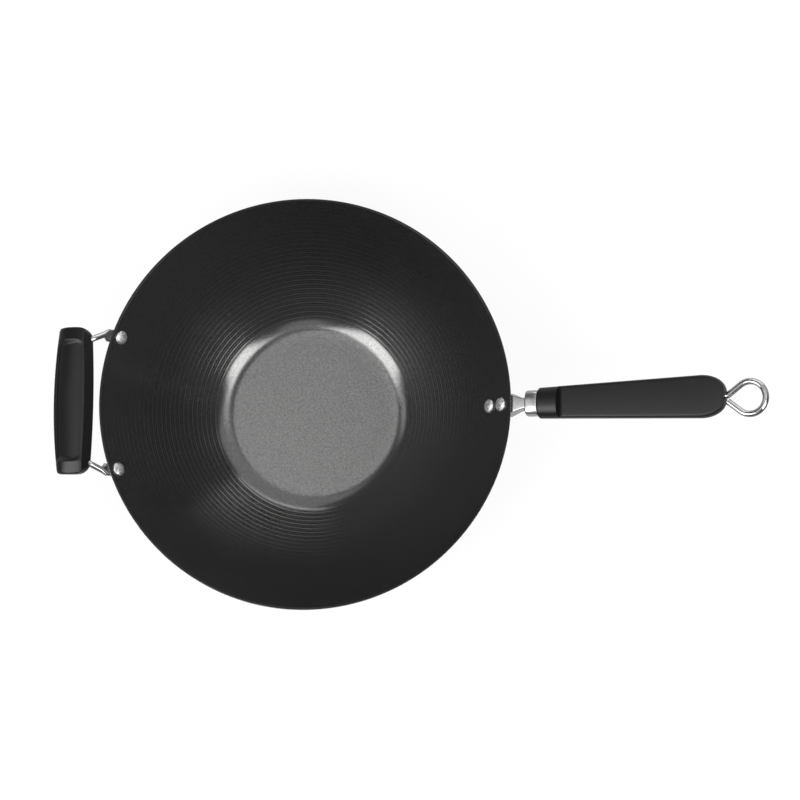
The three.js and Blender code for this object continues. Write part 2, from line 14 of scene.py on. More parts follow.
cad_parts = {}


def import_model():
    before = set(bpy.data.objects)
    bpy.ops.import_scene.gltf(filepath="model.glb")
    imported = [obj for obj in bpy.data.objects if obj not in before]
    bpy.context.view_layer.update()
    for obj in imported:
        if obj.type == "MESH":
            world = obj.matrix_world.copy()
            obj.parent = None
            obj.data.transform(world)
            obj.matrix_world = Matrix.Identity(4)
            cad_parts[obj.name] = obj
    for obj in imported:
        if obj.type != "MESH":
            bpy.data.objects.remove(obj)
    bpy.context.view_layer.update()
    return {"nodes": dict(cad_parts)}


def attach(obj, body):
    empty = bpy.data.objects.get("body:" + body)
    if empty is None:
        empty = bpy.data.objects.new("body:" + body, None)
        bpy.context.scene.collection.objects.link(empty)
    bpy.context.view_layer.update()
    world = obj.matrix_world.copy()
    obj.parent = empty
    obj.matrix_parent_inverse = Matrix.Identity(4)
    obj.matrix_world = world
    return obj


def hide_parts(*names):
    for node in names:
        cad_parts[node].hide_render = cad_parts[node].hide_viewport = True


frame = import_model()
MM = 0.001
FIXED, TURNING = "pan_and_handles", "eye"
SEAT_GAP, BORE_GAP = 0.3, 0.3
# Squareness of a superellipse that is a plain ellipse
ELLIPSE = 2.0

# Pan, with the shares of the base's radius at which its mesh has rings
RIM_RADIUS, PAN_HEIGHT, PAN_SHEET, RIM_EDGE = 177.5, 98.0, 1.5, 0.35
BASE_RADIUS, BASE_CORNER, WALL_RADIUS = 70.0, 29.5, 560.0
BASE_RINGS = np.array([0.0, 0.3, 0.62, 0.9])
# Turned grooves: distance apart, depth near the base and near the rim, extra share for each second one, and
# the shares of the wall at which they stop getting shallower and start to end
GROOVE_PITCH, GROOVE_DEEP, GROOVE_SHALLOW, GROOVE_PAIRING = 2.4, 0.075, 0.03, 0.5
GROOVE_SETTLED, GROOVE_ENDING = 0.75, 0.97

# Rivets
RIVET_HEAD, RIVET_RISE, RIVET_LIP, RIVET_SHANK = 11.9, 2.6, 0.35, 5.0
RIVET_TAIL, RIVET_TAIL_RISE = 9.0, 2.0
LONG_RIVET_DEPTH, LONG_RIVET_SPACING = 12.8, 16.0
HELPER_RIVET_DEPTH, HELPER_RIVET_HALF_SPAN = 9.6, 57.57

# Bracket of the long handle: folded sheet with a foot on the wall, and a cross wall that the nut pulls on
HANDLE_RISE, HANDLE_DROP = math.radians(21), 8.65
SHEET = 1.4
ROOT_TOP, ROOT_BOTTOM, NECK_TOP, NECK_BOTTOM = 15.3, 20.2, 8.6, 11.4
CHANNEL_TOP, ROOT_DEPTH, NECK_DEPTH = 5.8, 7.0, 5.0
TAPER_START, TAPER_LENGTH, FLANGE_LEAD, NECK_END = 2.0, 11.0, 4.0, 26.0
FOLD_RADIUS, FOLD_TIGHTENING, FLANK_SHARE = 1.0, 0.6, 0.75
FOOT_WIDTH, FOOT_LENGTH, FOOT_LOW_CORNER, FOOT_TOP_CORNER, FOOT_EDGE = 20.0, 33.0, 6.0, 1.0, 0.35
NUT_FRONT, NUT_THICKNESS, CROSS_WALL_INSET, CROSS_WALL_LOW = 5.0, 4.0, SHEET * 0.8, -3.6

# Ferrule and grip of the long handle: places are along the handle
FERRULE_START, FERRULE_END, FERRULE_WIDTH, FERRULE_HEIGHT = 14.8, 25.9, 22.2, 17.0
FERRULE_WALL, FERRULE_ROUNDING, FERRULE_SQUARE = 1.0, 1.6, 3.0
GRIP_START, GRIP_TIP, ROUND_END, GRIP_BORE = 26.2, 191.7, 20.5, 12.0
GRIP_START_WIDTH, GRIP_END_WIDTH, GRIP_EDGE = 26.4, 36.2, 1.2
GRIP_SQUARE, GRIP_LOW_SQUARE, TIP_WIDTH, TIP_HEIGHT, TIP_FULLNESS = 3.0, 2.5, 11.0, 9.0, 0.4
COLLAR_END, COLLAR_HEIGHT, COLLAR_SQUARE, COLLAR_CLEAR = 43.8, 18.4, 2.3, 1.0
COLLAR_LAST, STEP_FIRST = COLLAR_END - 0.6, COLLAR_END - 0.4
PADDLE_START, PADDLE_TOP, PADDLE_BOTTOM = 44.9, 6.2, 8.4
PADDLE_FALL, PADDLE_SOFT, LEAST_SOFT = 0.35, 0.5, 1e-3
PADDLE_DIP, PADDLE_DIP_LENGTH = 1.5, 4.6

# Hanging eye
WIRE, THREAD, THREAD_POINT, THREAD_POINT_LENGTH = 5.5, 5.0, 0.5, 0.6
THREAD_PAST_NUT, THREAD_PAST_NECK, THREAD_RUN_OUT, SHANK_LEAD = 1.5, 1.0, 0.3, 1.0
EYE_RADIUS, EYE_CENTRE, EYE_OFFSET = 13.6, GRIP_TIP + 21.4, 2.3
EYE_BEND, EYE_BEND_LENGTH, EYE_END_TRIM = GRIP_TIP + 2.0, 1.6, 0.6

# Bar of the helper handle, with a flattened foot at each end
BAR, BAR_BEND, BAR_ENTRY, BAR_CROSS, BAR_X = 5.4, 4.0, 54.2, 48.6, 193.2
BAR_FOOT_WIDTH, BAR_FOOT_THICKNESS, BAR_FOOT_SQUARE = 11.0, 3.0, 4.5
FOOT_BELOW, FOOT_ABOVE, FOOT_ROUNDING, FOOT_FLARE, FOOT_STRAIGHT = 9.5, 12.5, 2.4, 3.0, -5.0

# Grip of the helper handle, in two halves: heights are from the split
HELPER_LEVEL, HELPER_INNER, HELPER_WIDTH, HELPER_HALF = 107.0, 180.9, 34.2, 63.3
INNER_BOW, OUTER_BOW, INNER_CORNER, OUTER_CORNER, END_LIP = 2.0, 4.2, 10.0, 3.0, 1.6
RIDGE_HEIGHT, RIDGE_INSET, RIDGE_LEAST_INSET, OUTER_EDGE_DROP, END_FALL = 11.0, 5.8, 0.8, 1.0, 2.6
# Ridge: shares across and up at which its fold starts, the bow of the face below, the share of the crown's
# width and the drop at which the fold ends, and the fullness of the crown
FOLD_ACROSS, FOLD_UP, FACE_BOW = 0.94, 0.86, 1.15
CROWN_START, CROWN_DROP, CROWN_FULLNESS = 0.07, 0.05, 0.92
# Scoop: half length, depths, corner, width of its slope near the ridge and far from it, and the share of the
# crown at which it closes
SCOOP_HALF, SCOOP_DEEP, SCOOP_SHALLOW, SCOOP_CORNER = 52.6, 4.6, 0.4, 9.0
SCOOP_NEAR_SLOPE, SCOOP_FAR_SLOPE, SCOOP_CLOSING = 1.7, 5.6, 0.90
# Places with close loops: before and after the scoop's end, and in from where the corner starts
LOOPS_BEFORE, LOOPS_AFTER, LOOPS_APART, CORNER_LEAD = 5.5, 1.2, 6.0, 0.4
FLOOR_DEPTH, FLOOR_INSET, FLOOR_OUTER_INSET, FLOOR_END_INSET = 9.0, 4.0, 5.0, 3.0
FLOOR_TURN_INSET, FLOOR_TURN_RISE = 0.4, 1.5

# Screws of the helper grip
SCREW_X, SCREW_HALF_SPAN, SCREW_SEAT, SCREW_TOP = 203.9, 30.0, -4.8, 5.0
SCREW_HEAD, SCREW_RISE, SCREW_ROUNDING, SCREW_SHANK = 7.4, 2.6, 0.6, 4.0
SLOT_WIDTH, SLOT_DEPTH, SLOT_EDGE, RECESS_OVERCUT = 1.0, 1.2, 0.08, 3.0

# Fineness: sides round an axis or a loop, then steps along a profile or a path
PAN_SIDES, RIVET_SIDES, OVAL_SIDES, GRIP_SIDES = 300, 48, 96, 192
WIRE_SIDES, BAR_SIDES, SCREW_SIDES, RECESS_SIDES = 28, 32, 96, 48
GROOVE_STEPS, CORNER_STEPS, OUTSIDE_STEPS, RIM_STEPS, RIVET_STEPS = 5, 14, 26, 4, 13
FOLD_STEPS, CHANNEL_LOOPS, PLATE_EDGE_STEPS, FOOT_CORNER_STEPS = 7, 30, 5, 9
SHOULDER_STEPS, FERRULE_LIP_STEPS, GRIP_EDGE_STEPS = 9, 7, 7
COLLAR_LOOPS, STEP_LOOPS, PADDLE_LOOPS, END_LOOPS = 8, 30, 26, 22
BEND_STEPS, EYE_STEPS, FOOT_END_STEPS, FOOT_LENGTH_STEPS = 9, 81, 8, 6
MIDDLE_LOOPS, SCOOP_LOOPS, CORNER_LOOPS, LIP_LOOPS = 18, 16, 16, 8
FACE_STEPS, RIDGE_STEPS, CROWN_STEPS, FLOOR_STEPS = 9, 8, 40, 12
HEAD_STEPS, HEAD_EDGE_STEPS = 16, 6

# Coating, in metres: where in reach and height the dark edge and the bare line of the rim start and are full,
# where the base's tones pass into the wall's painted shade, and where the grooves' painted shade starts,
# fades and by how much
DARK_EDGE, DARK_EDGE_HEIGHT = (0.1752, 0.1756), (0.0950, 0.0960)
BARE_LINE, BARE_LINE_HEIGHT = (0.17695, 0.17725), (0.0966, 0.0973)
BASE_TO_WALL = (0.084, 0.142)
GROOVE_SHADE_START, GROOVE_SHADE_FADE, GROOVE_SHADE_LOSS = (0.084, 0.090), (0.105, 0.165), 0.8
# Millimetres into the sheet over which the painted shade of the inside's grooves gives way to the plain
# outside
INSIDE_SKIN = (0.9, 0.5)
# Darkest and lightest speckle on the base and on the wall, the wall's darker with painted shade, and the
# tones of the dark edge and the bare line
BASE_TONES, SHADED_WALL_TONES, SPECKLE_WARMTH = (0.090, 0.252), (0.048, 0.176), 0.01
DARK_EDGE_TONE, BARE_LINE_TONE = 0.03, 0.42

# Surroundings: level of the world, fall of the backdrop, share that mirrors see, and lift of the floor
WORLD_LEVEL, BACKDROP_FALL, MIRRORED, FLOOR_LIFT, FAR_LIFT = 0.13, 0.6, 0.5, 0.87, 0.18
# Floor, in metres: size and level, where its lift grows, and where mirrors lose it in front and by how much
FLOOR_HALF, FLOOR_LEVEL, FLOOR_TONE = 6.0, -0.0005, 0.15
FAR_REACH, FRONT_REACH, BACK_REACH, FRONT_LOSS = (0.6, 2.6), (0.25, 0.8), (-0.1, 0.4), 0.85
# World, as parts of a direction: where mirrors start to see its back half, and where that and the white end
BACK_HALF, MIRROR_TOP, BACKDROP_TOP = (0.0, 0.5), (0.12, 0.32), (0.25, 0.75)
# Lights: name, place and size in metres, and radiance
LIGHTS = (
    ("overhead", (-0.26, 0.0, 1.6), (0.77, 0.6), 1.25),
    ("front_left", (-0.90, -0.615, 1.18), (0.86, 1.22), 4.8),
    ("front_right", (0.84, -0.546, 1.254), (0.62, 1.10), 4.8),
    ("front", (0.02, -0.97, 1.26), (0.6, 0.95), 0.52),
    ("right", (0.77, 0.05, 1.51), (0.5, 0.5), 0.8),
    ("left", (-1.06, 0.15, 1.19), (0.45, 0.45), 1.0),
    ("back_right", (0.52, 0.80, 1.33), (2.2, 1.5), 0.62),
    ("back", (0.35, 1.45, 0.58), (1.5, 0.45), 2.0),
)

# Camera, fitted to the photograph: lean and roll in radians, aim and distance in millimetres
LEAN_X, LEAN_Y, ROLL = 0.06491, 0.11171, 0.0095
AIM, DISTANCE = np.array([82.33, 2.593, 98.0]), 2500.4
SENSOR, LENS, CLIP_END = 36.0, 131.51, 50.0


def lerp(a, b, share):
    """Value at a share of the way from a to b."""
    return a + (b - a) * share


def ease(value, low, high):
    """Smooth step from 0 at low to 1 at high."""
    t = np.clip((value - low) / (high - low), 0.0, 1.0)
    return t * t * (3 - 2 * t)


def quadratic(start, middle, end, t):
    """Quadratic curve from start to end, drawn towards the middle point."""
    return (1 - t) ** 2 * start + 2 * t * (1 - t) * middle + t**2 * end


def turns(count):
    """Angles all the way round, without the last one twice."""
    return np.arange(count) * (2 * np.pi / count)


def quarter(steps):
    """Angles over a quarter of a turn."""
    return np.linspace(0, np.pi / 2, steps)


def points(x, y, z):
    """Arrays of coordinates as one array of points."""
    return np.stack(np.broadcast_arrays(x, y, z), -1).astype(float)


def power(value, exponent):
    """A signed power, so that a superellipse keeps its four quarters."""
    return np.sign(value) * np.abs(value) ** exponent


def loft(loops, close_start=True, close_end=True):
    """Skin over loops with equal numbers of points: quads from loop to loop, and a flat face at an end."""
    loops = np.asarray(loops, float)
    rows, columns = loops.shape[:2]
    first = np.arange(rows - 1)[:, None] * columns
    here = np.arange(columns)[None]
    after = (here + 1) % columns
    quads = np.stack([first + here, first + after, first + columns + after, first + columns + here], -1)
    faces = quads.reshape(-1, 4).tolist()
    if close_start:
        faces.append(list(range(columns - 1, -1, -1)))
    if close_end:
        faces.append(list(range((rows - 1) * columns, rows * columns)))
    return loops.reshape(-1, 3), faces


def lathe(radius, height, sides):
    """Profile (radius, height) carried round the z axis. A radius of 0 becomes a single pole."""
    angle = turns(sides)[None]
    radius, height = np.asarray(radius, float)[:, None], np.asarray(height, float)[:, None]
    return loft(points(radius * np.cos(angle), radius * np.sin(angle), height), False, False)


def placed(shell, matrix):
    """A shell moved by a 4 by 4 matrix."""
    corners, faces = shell
    return corners @ matrix[:3, :3].T + matrix[:3, 3], faces


def joined(name, shells):
    """One mesh from shells, in metres, with doubles merged and faces turned outwards."""
    corners, faces, start = [], [], 0
    for shell_corners, shell_faces in shells:
        corners.append(shell_corners)
        faces += [[start + i for i in face] for face in shell_faces]
        start += len(shell_corners)
    mesh = bpy.data.meshes.new(name)
    mesh.from_pydata((np.concatenate(corners) * MM).tolist(), [], faces)
    work = bmesh.new()
    work.from_mesh(mesh)
    bmesh.ops.remove_doubles(work, verts=work.verts, dist=1e-6)
    bmesh.ops.recalc_face_normals(work, faces=work.faces)
    work.to_mesh(mesh)
    work.free()
    return mesh


def linked(name, data):
    """A new object in the scene."""
    made = bpy.data.objects.new(name, data)
    bpy.context.scene.collection.objects.link(made)
    return made


def piece(name, shells, node, material, body=FIXED, sharp=35.0):
    """A visible piece from shells that stands in for a CAD node: smooth but for edges over an angle."""
    mesh = joined(name, shells)
    mesh.shade_smooth()
    mesh.set_sharp_from_angle(angle=math.radians(sharp))
    mesh.materials.append(material)
    made = linked(name, mesh)
    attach(made, body)
    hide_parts(node)
    return made


def frame_of(x_axis, z_axis, origin):
    """4 by 4 frame from its x and z axes and its origin."""
    x_axis, z_axis = np.asarray(x_axis, float), np.asarray(z_axis, float)
    made = np.eye(4)
    made[:3, 0], made[:3, 1], made[:3, 2], made[:3, 3] = x_axis, np.cross(z_axis, x_axis), z_axis, origin
    return made


def turn_z(angle):
    """4 by 4 turn about the z axis."""
    made = np.eye(4)
    made[:2, :2] = [[math.cos(angle), -math.sin(angle)], [math.sin(angle), math.cos(angle)]]
    return made


def shift(x, y, z):
    """4 by 4 move."""
    made = np.eye(4)
    made[:3, 3] = x, y, z
    return made


def wall_centre():
    """Centre of the wall's arc: it passes through the rim and touches the arc round the base."""
    rim, corner = np.array([RIM_RADIUS, PAN_HEIGHT]), np.array([BASE_RADIUS, BASE_CORNER])
    chord = corner - rim
    length = np.hypot(*chord)
    along = (WALL_RADIUS**2 - (WALL_RADIUS - BASE_CORNER) ** 2 + length**2) / (2 * length)
    way = chord / length
    return rim + way * along + np.array([way[1], -way[0]]) * math.sqrt(WALL_RADIUS**2 - along**2)


# Wall in its section: slope at the rim, angles about the arc's centre at the base and the rim, and an even
# number of grooves between them
CENTRE = wall_centre()
RIM_SLOPE = math.asin((RIM_RADIUS - CENTRE[0]) / WALL_RADIUS)
JOIN = math.atan2(BASE_CORNER - CENTRE[1], BASE_RADIUS - CENTRE[0])
WALL_TOP = math.asin((PAN_HEIGHT - RIM_EDGE - CENTRE[1]) / (WALL_RADIUS - PAN_SHEET))
GROOVES = 2 * round((WALL_RADIUS - PAN_SHEET) * (WALL_TOP - JOIN) / GROOVE_PITCH / 2)


def wall_frame(azimuth, below_rim):
    """Frame on the outside of the wall, x up the wall and z straight out of it."""
    slope = RIM_SLOPE - below_rim / WALL_RADIUS
    up = [math.cos(slope), 0, math.sin(slope)]
    out = np.array([math.sin(slope), 0, -math.cos(slope)])
    origin = np.array([CENTRE[0], 0, CENTRE[1]]) + WALL_RADIUS * out
    return turn_z(azimuth) @ frame_of(up, out, origin)


# Frames of the bracket's foot, the long handle, the helper handle and the bar's two feet
FOOT = wall_frame(0, LONG_RIVET_DEPTH + LONG_RIVET_SPACING / 2)
HANDLE = frame_of(
    [math.cos(HANDLE_RISE), 0, math.sin(HANDLE_RISE)],
    [-math.sin(HANDLE_RISE), 0, math.cos(HANDLE_RISE)],
    [RIM_RADIUS, 0, PAN_HEIGHT - HANDLE_DROP],
)
HELPER = turn_z(math.pi)
HELPER_SLOPE = RIM_SLOPE - HELPER_RIVET_DEPTH / WALL_RADIUS
HELPER_AZIMUTH = math.asin(HELPER_RIVET_HALF_SPAN / (CENTRE[0] + WALL_RADIUS * math.sin(HELPER_SLOPE)))
BAR_FOOT_TURN = math.atan(math.cos(RIM_SLOPE) * math.tan(HELPER_AZIMUTH))
BAR_FEET = [
    wall_frame(side * HELPER_AZIMUTH, HELPER_RIVET_DEPTH) @ turn_z(side * BAR_FOOT_TURN) for side in (1, -1)
]


class Shade:
    """A socket in a material's nodes. Arithmetic on it adds Math nodes, and node() adds any other node."""

    def __init__(self, tree, socket=None):
        self.tree, self.socket = tree, socket

    def node(self, kind, settings=None, output=0, **inputs):
        """Adds a node: its settings, then the value or link of each input, by name or as n and a number."""
        made = self.tree.nodes.new(kind)
        for name, value in (settings or {}).items():
            setattr(made, name, value)
        for name, value in inputs.items():
            key = int(name[1:]) if name[0] == "n" and name[1:].isdigit() else name.replace("_", " ")
            socket = made.inputs[key]
            if isinstance(value, Shade):
                self.tree.links.new(value.socket, socket)
            else:
                socket.default_value = value
        return Shade(self.tree, made.outputs[output])

    def _math(self, operation, first, second):
        return self.node("ShaderNodeMath", {"operation": operation}, n0=first, n1=second)

    def __add__(self, other):
        return self._math("ADD", self, other)

    __radd__ = __add__

    def __sub__(self, other):
        return self._math("SUBTRACT", self, other)

    def __rsub__(self, other):
        return self._math("SUBTRACT", other, self)

    def __mul__(self, other):
        return self._math("MULTIPLY", self, other)

    __rmul__ = __mul__

    def step(self, low, high):
        """Smooth step from 0 at low to 1 at high."""
        return self.node(
            "ShaderNodeMapRange",
            {"interpolation_type": "SMOOTHSTEP"},
            Value=self,
            From_Min=low,
            From_Max=high,
        )

    def blend(self, first, second):
        """Colour between two, by this value."""
        return self.node(
            "ShaderNodeMix", {"data_type": "RGBA"}, output=2, n0=self, n6=first, n7=second
        )


def grey(level, warmth=0.0):
    """Colour of a level, with red raised and blue lowered by a warmth."""
    return (level * (1 + warmth), level, level * (1 - warmth), 1.0)


def finish(name, build, **constants):
    """A material on the Principled shader. build returns what varies over the surface, by socket name."""
    made = bpy.data.materials.new(name)
    made.use_nodes = True
    tree = made.node_tree
    shader = tree.nodes["Principled BSDF"]
    for socket, value in constants.items():
        shader.inputs[socket.replace("_", " ")].default_value = value
    base = Shade(tree)
    place = base.node("ShaderNodeTexCoord", output="Object")
    for socket, value in build(base, place).items():
        tree.links.new(value.socket, shader.inputs[socket.replace("_", " ")])
    return made


def axes(base, place):
    """The x, y and z of a place or a direction."""
    parts = base.node("ShaderNodeSeparateXYZ", Vector=place)
    return [Shade(base.tree, output) for output in parts.socket.node.outputs]


def noise(base, place, scale, detail=2.0, roughness=0.5):
    """Noise from 0 to 1 with features of about one over the scale, in metres."""
    return base.node("ShaderNodeTexNoise", Vector=place, Scale=scale, Detail=detail, Roughness=roughness)


def coating(base, place):
    """Dark satin coating with a fine speckle, lighter on the base than on the wall and darker in the grooves,
    where the wall's darker tones and the darker grooves are painted shade.

    At the rim it has a dark edge and a bare line. The painted shade of the grooves is a cosine of the angle
    about the centre of the wall's arc, with one of half that angle.
    """
    x, y, z = axes(base, place)
    reach = base.node("ShaderNodeMath", {"operation": "SQRT"}, n0=x * x + y * y)
    rim = reach.step(*DARK_EDGE) * z.step(*DARK_EDGE_HEIGHT)
    bare = reach.step(*BARE_LINE) * z.step(*BARE_LINE_HEIGHT)
    # Painted shade: the wall's tones are darker than the base's.
    wall_shade = reach.step(*BASE_TO_WALL)
    out, up = reach - CENTRE[0] * MM, z - CENTRE[1] * MM
    slope = base.node("ShaderNodeMath", {"operation": "ARCTAN2"}, n0=up, n1=out)
    from_centre = base.node("ShaderNodeMath", {"operation": "SQRT"}, n0=out * out + up * up)
    inside = 1.0 - from_centre.step(*((WALL_RADIUS - depth) * MM for depth in INSIDE_SKIN))
    # Painted shade in the grooves: darker in each groove, and more in each second one.
    turn = (slope - JOIN) * (2 * math.pi * GROOVES / (WALL_TOP - JOIN))
    groove_shade = base.node("ShaderNodeMath", {"operation": "COSINE"}, n0=turn)
    paired_groove_shade = base.node("ShaderNodeMath", {"operation": "COSINE"}, n0=turn * 0.5)
    kept = 1.0 - GROOVE_SHADE_LOSS * reach.step(*GROOVE_SHADE_FADE)
    groove_shade_share = inside * reach.step(*GROOVE_SHADE_START) * kept
    fine = noise(base, place, 1500.0, detail=2.0, roughness=0.7).step(0.30, 0.70)
    cloud = noise(base, place, 45.0, detail=3.0)
    # Fine speckle, with the grooves' painted shade added on the wall.
    level = fine * 0.8 + 0.1 + (groove_shade * 0.4 + paired_groove_shade * 0.2) * groove_shade_share
    low = wall_shade.blend(grey(BASE_TONES[0]), grey(SHADED_WALL_TONES[0]))
    high = wall_shade.blend(grey(BASE_TONES[1], SPECKLE_WARMTH), grey(SHADED_WALL_TONES[1], SPECKLE_WARMTH))
    edged = rim.blend(level.blend(low, high), grey(DARK_EDGE_TONE))
    colour = bare.blend(edged, grey(BARE_LINE_TONE))
    rough = 0.16 + fine * 0.05 + cloud * 0.04
    bump = base.node("ShaderNodeBump", Height=fine, Strength=0.10, Distance=0.00004)
    return {"Base_Color": colour, "Roughness": rough, "Normal": bump}


def plated(base, place, least, spread):
    """Plated steel with faint smears and pits, between a least roughness and a spread above it."""
    smear = noise(base, place, 220.0, detail=4.0)
    pits = noise(base, place, 3200.0, detail=1.0)
    rough = least + smear * spread
    colour = smear.blend(grey(0.50, 0.004), grey(0.60, 0.002))
    bump = base.node("ShaderNodeBump", Height=pits, Strength=0.05, Distance=0.00003)
    return {"Base_Color": colour, "Roughness": rough, "Normal": bump}


def bright(base, place):
    """Bright drawn wire and bar, screws and nut."""
    return plated(base, place, least=0.04, spread=0.07)


def pressed(base, place):
    """Satin pressed sheet of the bracket and the ferrule."""
    return plated(base, place, least=0.20, spread=0.12)


def beaten(base, place):
    """Satin aluminium of a rivet with the dents that the setting tool leaves, and painted shade in the dents.
    """
    dents = noise(base, place, 480.0, detail=3.0, roughness=0.65)
    fine = noise(base, place, 1500.0, detail=2.0, roughness=0.7)
    # Painted shade: darker where the dents are deeper.
    dent_shade = dents.step(0.36, 0.56)
    colour = dent_shade.blend(grey(0.38), grey(0.90))
    rough = 0.36 + fine * 0.2
    bump = base.node("ShaderNodeBump", Height=dents, Strength=0.6, Distance=0.0006)
    return {"Base_Color": colour, "Roughness": rough, "Normal": bump}


def moulding(base, place):
    """Matt black moulding with a fine grain."""
    grain = noise(base, place, 1500.0, detail=3.0, roughness=0.6)
    cloud = noise(base, place, 60.0, detail=3.0)
    colour = grain.step(0.3, 0.8).blend(grey(0.005), grey(0.014, 0.01))
    rough = 0.26 + cloud * 0.07 + grain * 0.08
    bump = base.node("ShaderNodeBump", Height=grain, Strength=0.35, Distance=0.00010)
    return {"Base_Color": colour, "Roughness": rough, "Normal": bump}


COATING = finish("pan_coating", coating, Metallic=0.94)
BRIGHT = finish("bright_steel", bright, Metallic=1.0)
PRESSED = finish("pressed_steel", pressed, Metallic=1.0)
RIVETED = finish("rivet_aluminium", beaten, Metallic=1.0)
MOULDED = finish("black_moulding", moulding, Specular_IOR_Level=0.38)


def bend(before, corner, after, reach, steps):
    """Quadratic curve that rounds a corner, from a reach before it to a reach after it."""
    start = corner + (before - corner) * (reach / np.linalg.norm(before - corner, axis=-1, keepdims=True))
    end = corner + (after - corner) * (reach / np.linalg.norm(after - corner, axis=-1, keepdims=True))
    return quadratic(start, corner, end, np.linspace(0, 1, steps)[:, None])


def smooth_path(corners, reach):
    """Path through corners, each inner one rounded over a reach on both sides."""
    corners = np.asarray(corners, float)
    inner = [bend(a, b, c, reach, BEND_STEPS) for a, b, c in zip(corners, corners[1:], corners[2:])]
    return np.concatenate([corners[:1], *inner, corners[-1:]])


def pan():
    """Sheet profile carried round the z axis: flat base, arc, wall with grooves, round rim and the outside.

    Each groove is one wave of a raised cosine, and a wave twice as long deepens each second one.
    """
    corner_inside, inside = BASE_CORNER - PAN_SHEET, WALL_RADIUS - PAN_SHEET
    corner_in = np.linspace(-np.pi / 2, JOIN, CORNER_STEPS)
    along = np.linspace(0, 1, GROOVES * GROOVE_STEPS + 1)[1:]
    deep = lerp(GROOVE_DEEP, GROOVE_SHALLOW, ease(along, 0.0, GROOVE_SETTLED))
    deep = deep * (1 - ease(along, GROOVE_ENDING, 1.0))
    turn = 2 * np.pi * along * GROOVES
    groove = deep * (0.5 - 0.5 * np.cos(turn) + GROOVE_PAIRING * (0.5 - 0.5 * np.cos(turn / 2)))
    wall_in = lerp(JOIN, WALL_TOP, along)
    reach = inside + groove
    top_out = math.asin((PAN_HEIGHT - RIM_EDGE - CENTRE[1]) / WALL_RADIUS)
    inner_end = CENTRE + inside * np.array([math.cos(WALL_TOP), math.sin(WALL_TOP)])
    outer_end = CENTRE + WALL_RADIUS * np.array([math.cos(top_out), math.sin(top_out)])
    inner_top = np.array([RIM_RADIUS - PAN_SHEET / math.sin(RIM_SLOPE), PAN_HEIGHT])
    outer_top = np.array([RIM_RADIUS, PAN_HEIGHT])
    lip = np.concatenate([
        bend(inner_end, inner_top, outer_top, RIM_EDGE, RIM_STEPS),
        bend(inner_top, outer_top, outer_end, RIM_EDGE, RIM_STEPS),
    ])
    wall_out = np.linspace(top_out, JOIN, OUTSIDE_STEPS)
    corner_out = np.linspace(JOIN, -np.pi / 2, CORNER_STEPS)[1:]
    flat = BASE_RINGS * BASE_RADIUS
    radius = np.concatenate([
        flat,
        BASE_RADIUS + corner_inside * np.cos(corner_in),
        CENTRE[0] + reach * np.cos(wall_in),
        lip[:, 0],
        CENTRE[0] + WALL_RADIUS * np.cos(wall_out),
        BASE_RADIUS + BASE_CORNER * np.cos(corner_out),
        flat[::-1],
    ])
    height = np.concatenate([
        np.full(len(flat), PAN_SHEET),
        BASE_CORNER + corner_inside * np.sin(corner_in),
        CENTRE[1] + reach * np.sin(wall_in),
        lip[:, 1],
        CENTRE[1] + WALL_RADIUS * np.sin(wall_out),
        BASE_CORNER + BASE_CORNER * np.sin(corner_out),
        np.zeros(len(flat)),
    ])
    piece("pan", [lathe(radius, height, PAN_SIDES)], "pan_shell", COATING, sharp=60.0)


def rivet(node, where, plate):
    """Dome head inside the wall, shank, and dome tail outside, carried round the rivet's axis."""
    head_seat = -PAN_SHEET - (RIVET_HEAD / 2) ** 2 / (2 * RIM_RADIUS) - SEAT_GAP
    tail_seat = plate + 2 * SEAT_GAP
    arc = quarter(RIVET_STEPS)
    head_r = RIVET_HEAD / 2 * np.sin(arc)
    head_z = head_seat - RIVET_LIP - (RIVET_RISE - RIVET_LIP) * np.cos(arc)
    tail_r = RIVET_TAIL / 2 * np.sin(arc)[::-1]
    tail_z = tail_seat + RIVET_TAIL_RISE * np.cos(arc)[::-1]
    shank = RIVET_SHANK / 2
    radius = np.concatenate([head_r, [RIVET_HEAD / 2, shank, shank], tail_r])
    height = np.concatenate([head_z, [head_seat, head_seat, tail_seat], tail_z])
    shell = placed(lathe(radius, height, RIVET_SIDES), where)
    piece(node, [shell], node, RIVETED)


def channel_section(along, inset):
    """Folded section of the bracket at a place along the handle: flange, web and flange, with round folds."""
    share = np.clip((along - TAPER_START) / TAPER_LENGTH, 0, 1)
    flange_share = np.clip((along - TAPER_START + FLANGE_LEAD) / TAPER_LENGTH, 0, 1)
    top = lerp(ROOT_TOP, NECK_TOP, share) / 2 - inset
    bottom = lerp(ROOT_BOTTOM, NECK_BOTTOM, flange_share) / 2 - inset
    low, high = -lerp(ROOT_DEPTH, NECK_DEPTH, flange_share), CHANNEL_TOP - inset
    corners = np.array([[-bottom, low], [-top, high], [top, high], [bottom, low]])
    fold = FOLD_RADIUS - FOLD_TIGHTENING * inset
    flank = lerp(corners[0], corners[1], np.linspace(0, FLANK_SHARE, FOLD_STEPS)[:, None])
    first = bend(corners[0], corners[1], corners[2], fold, FOLD_STEPS)
    second = bend(corners[1], corners[2], corners[3], fold, FOLD_STEPS)
    other = lerp(corners[3], corners[2], np.linspace(FLANK_SHARE, 0, FOLD_STEPS)[:, None])
    return np.concatenate([flank, first, second, other])


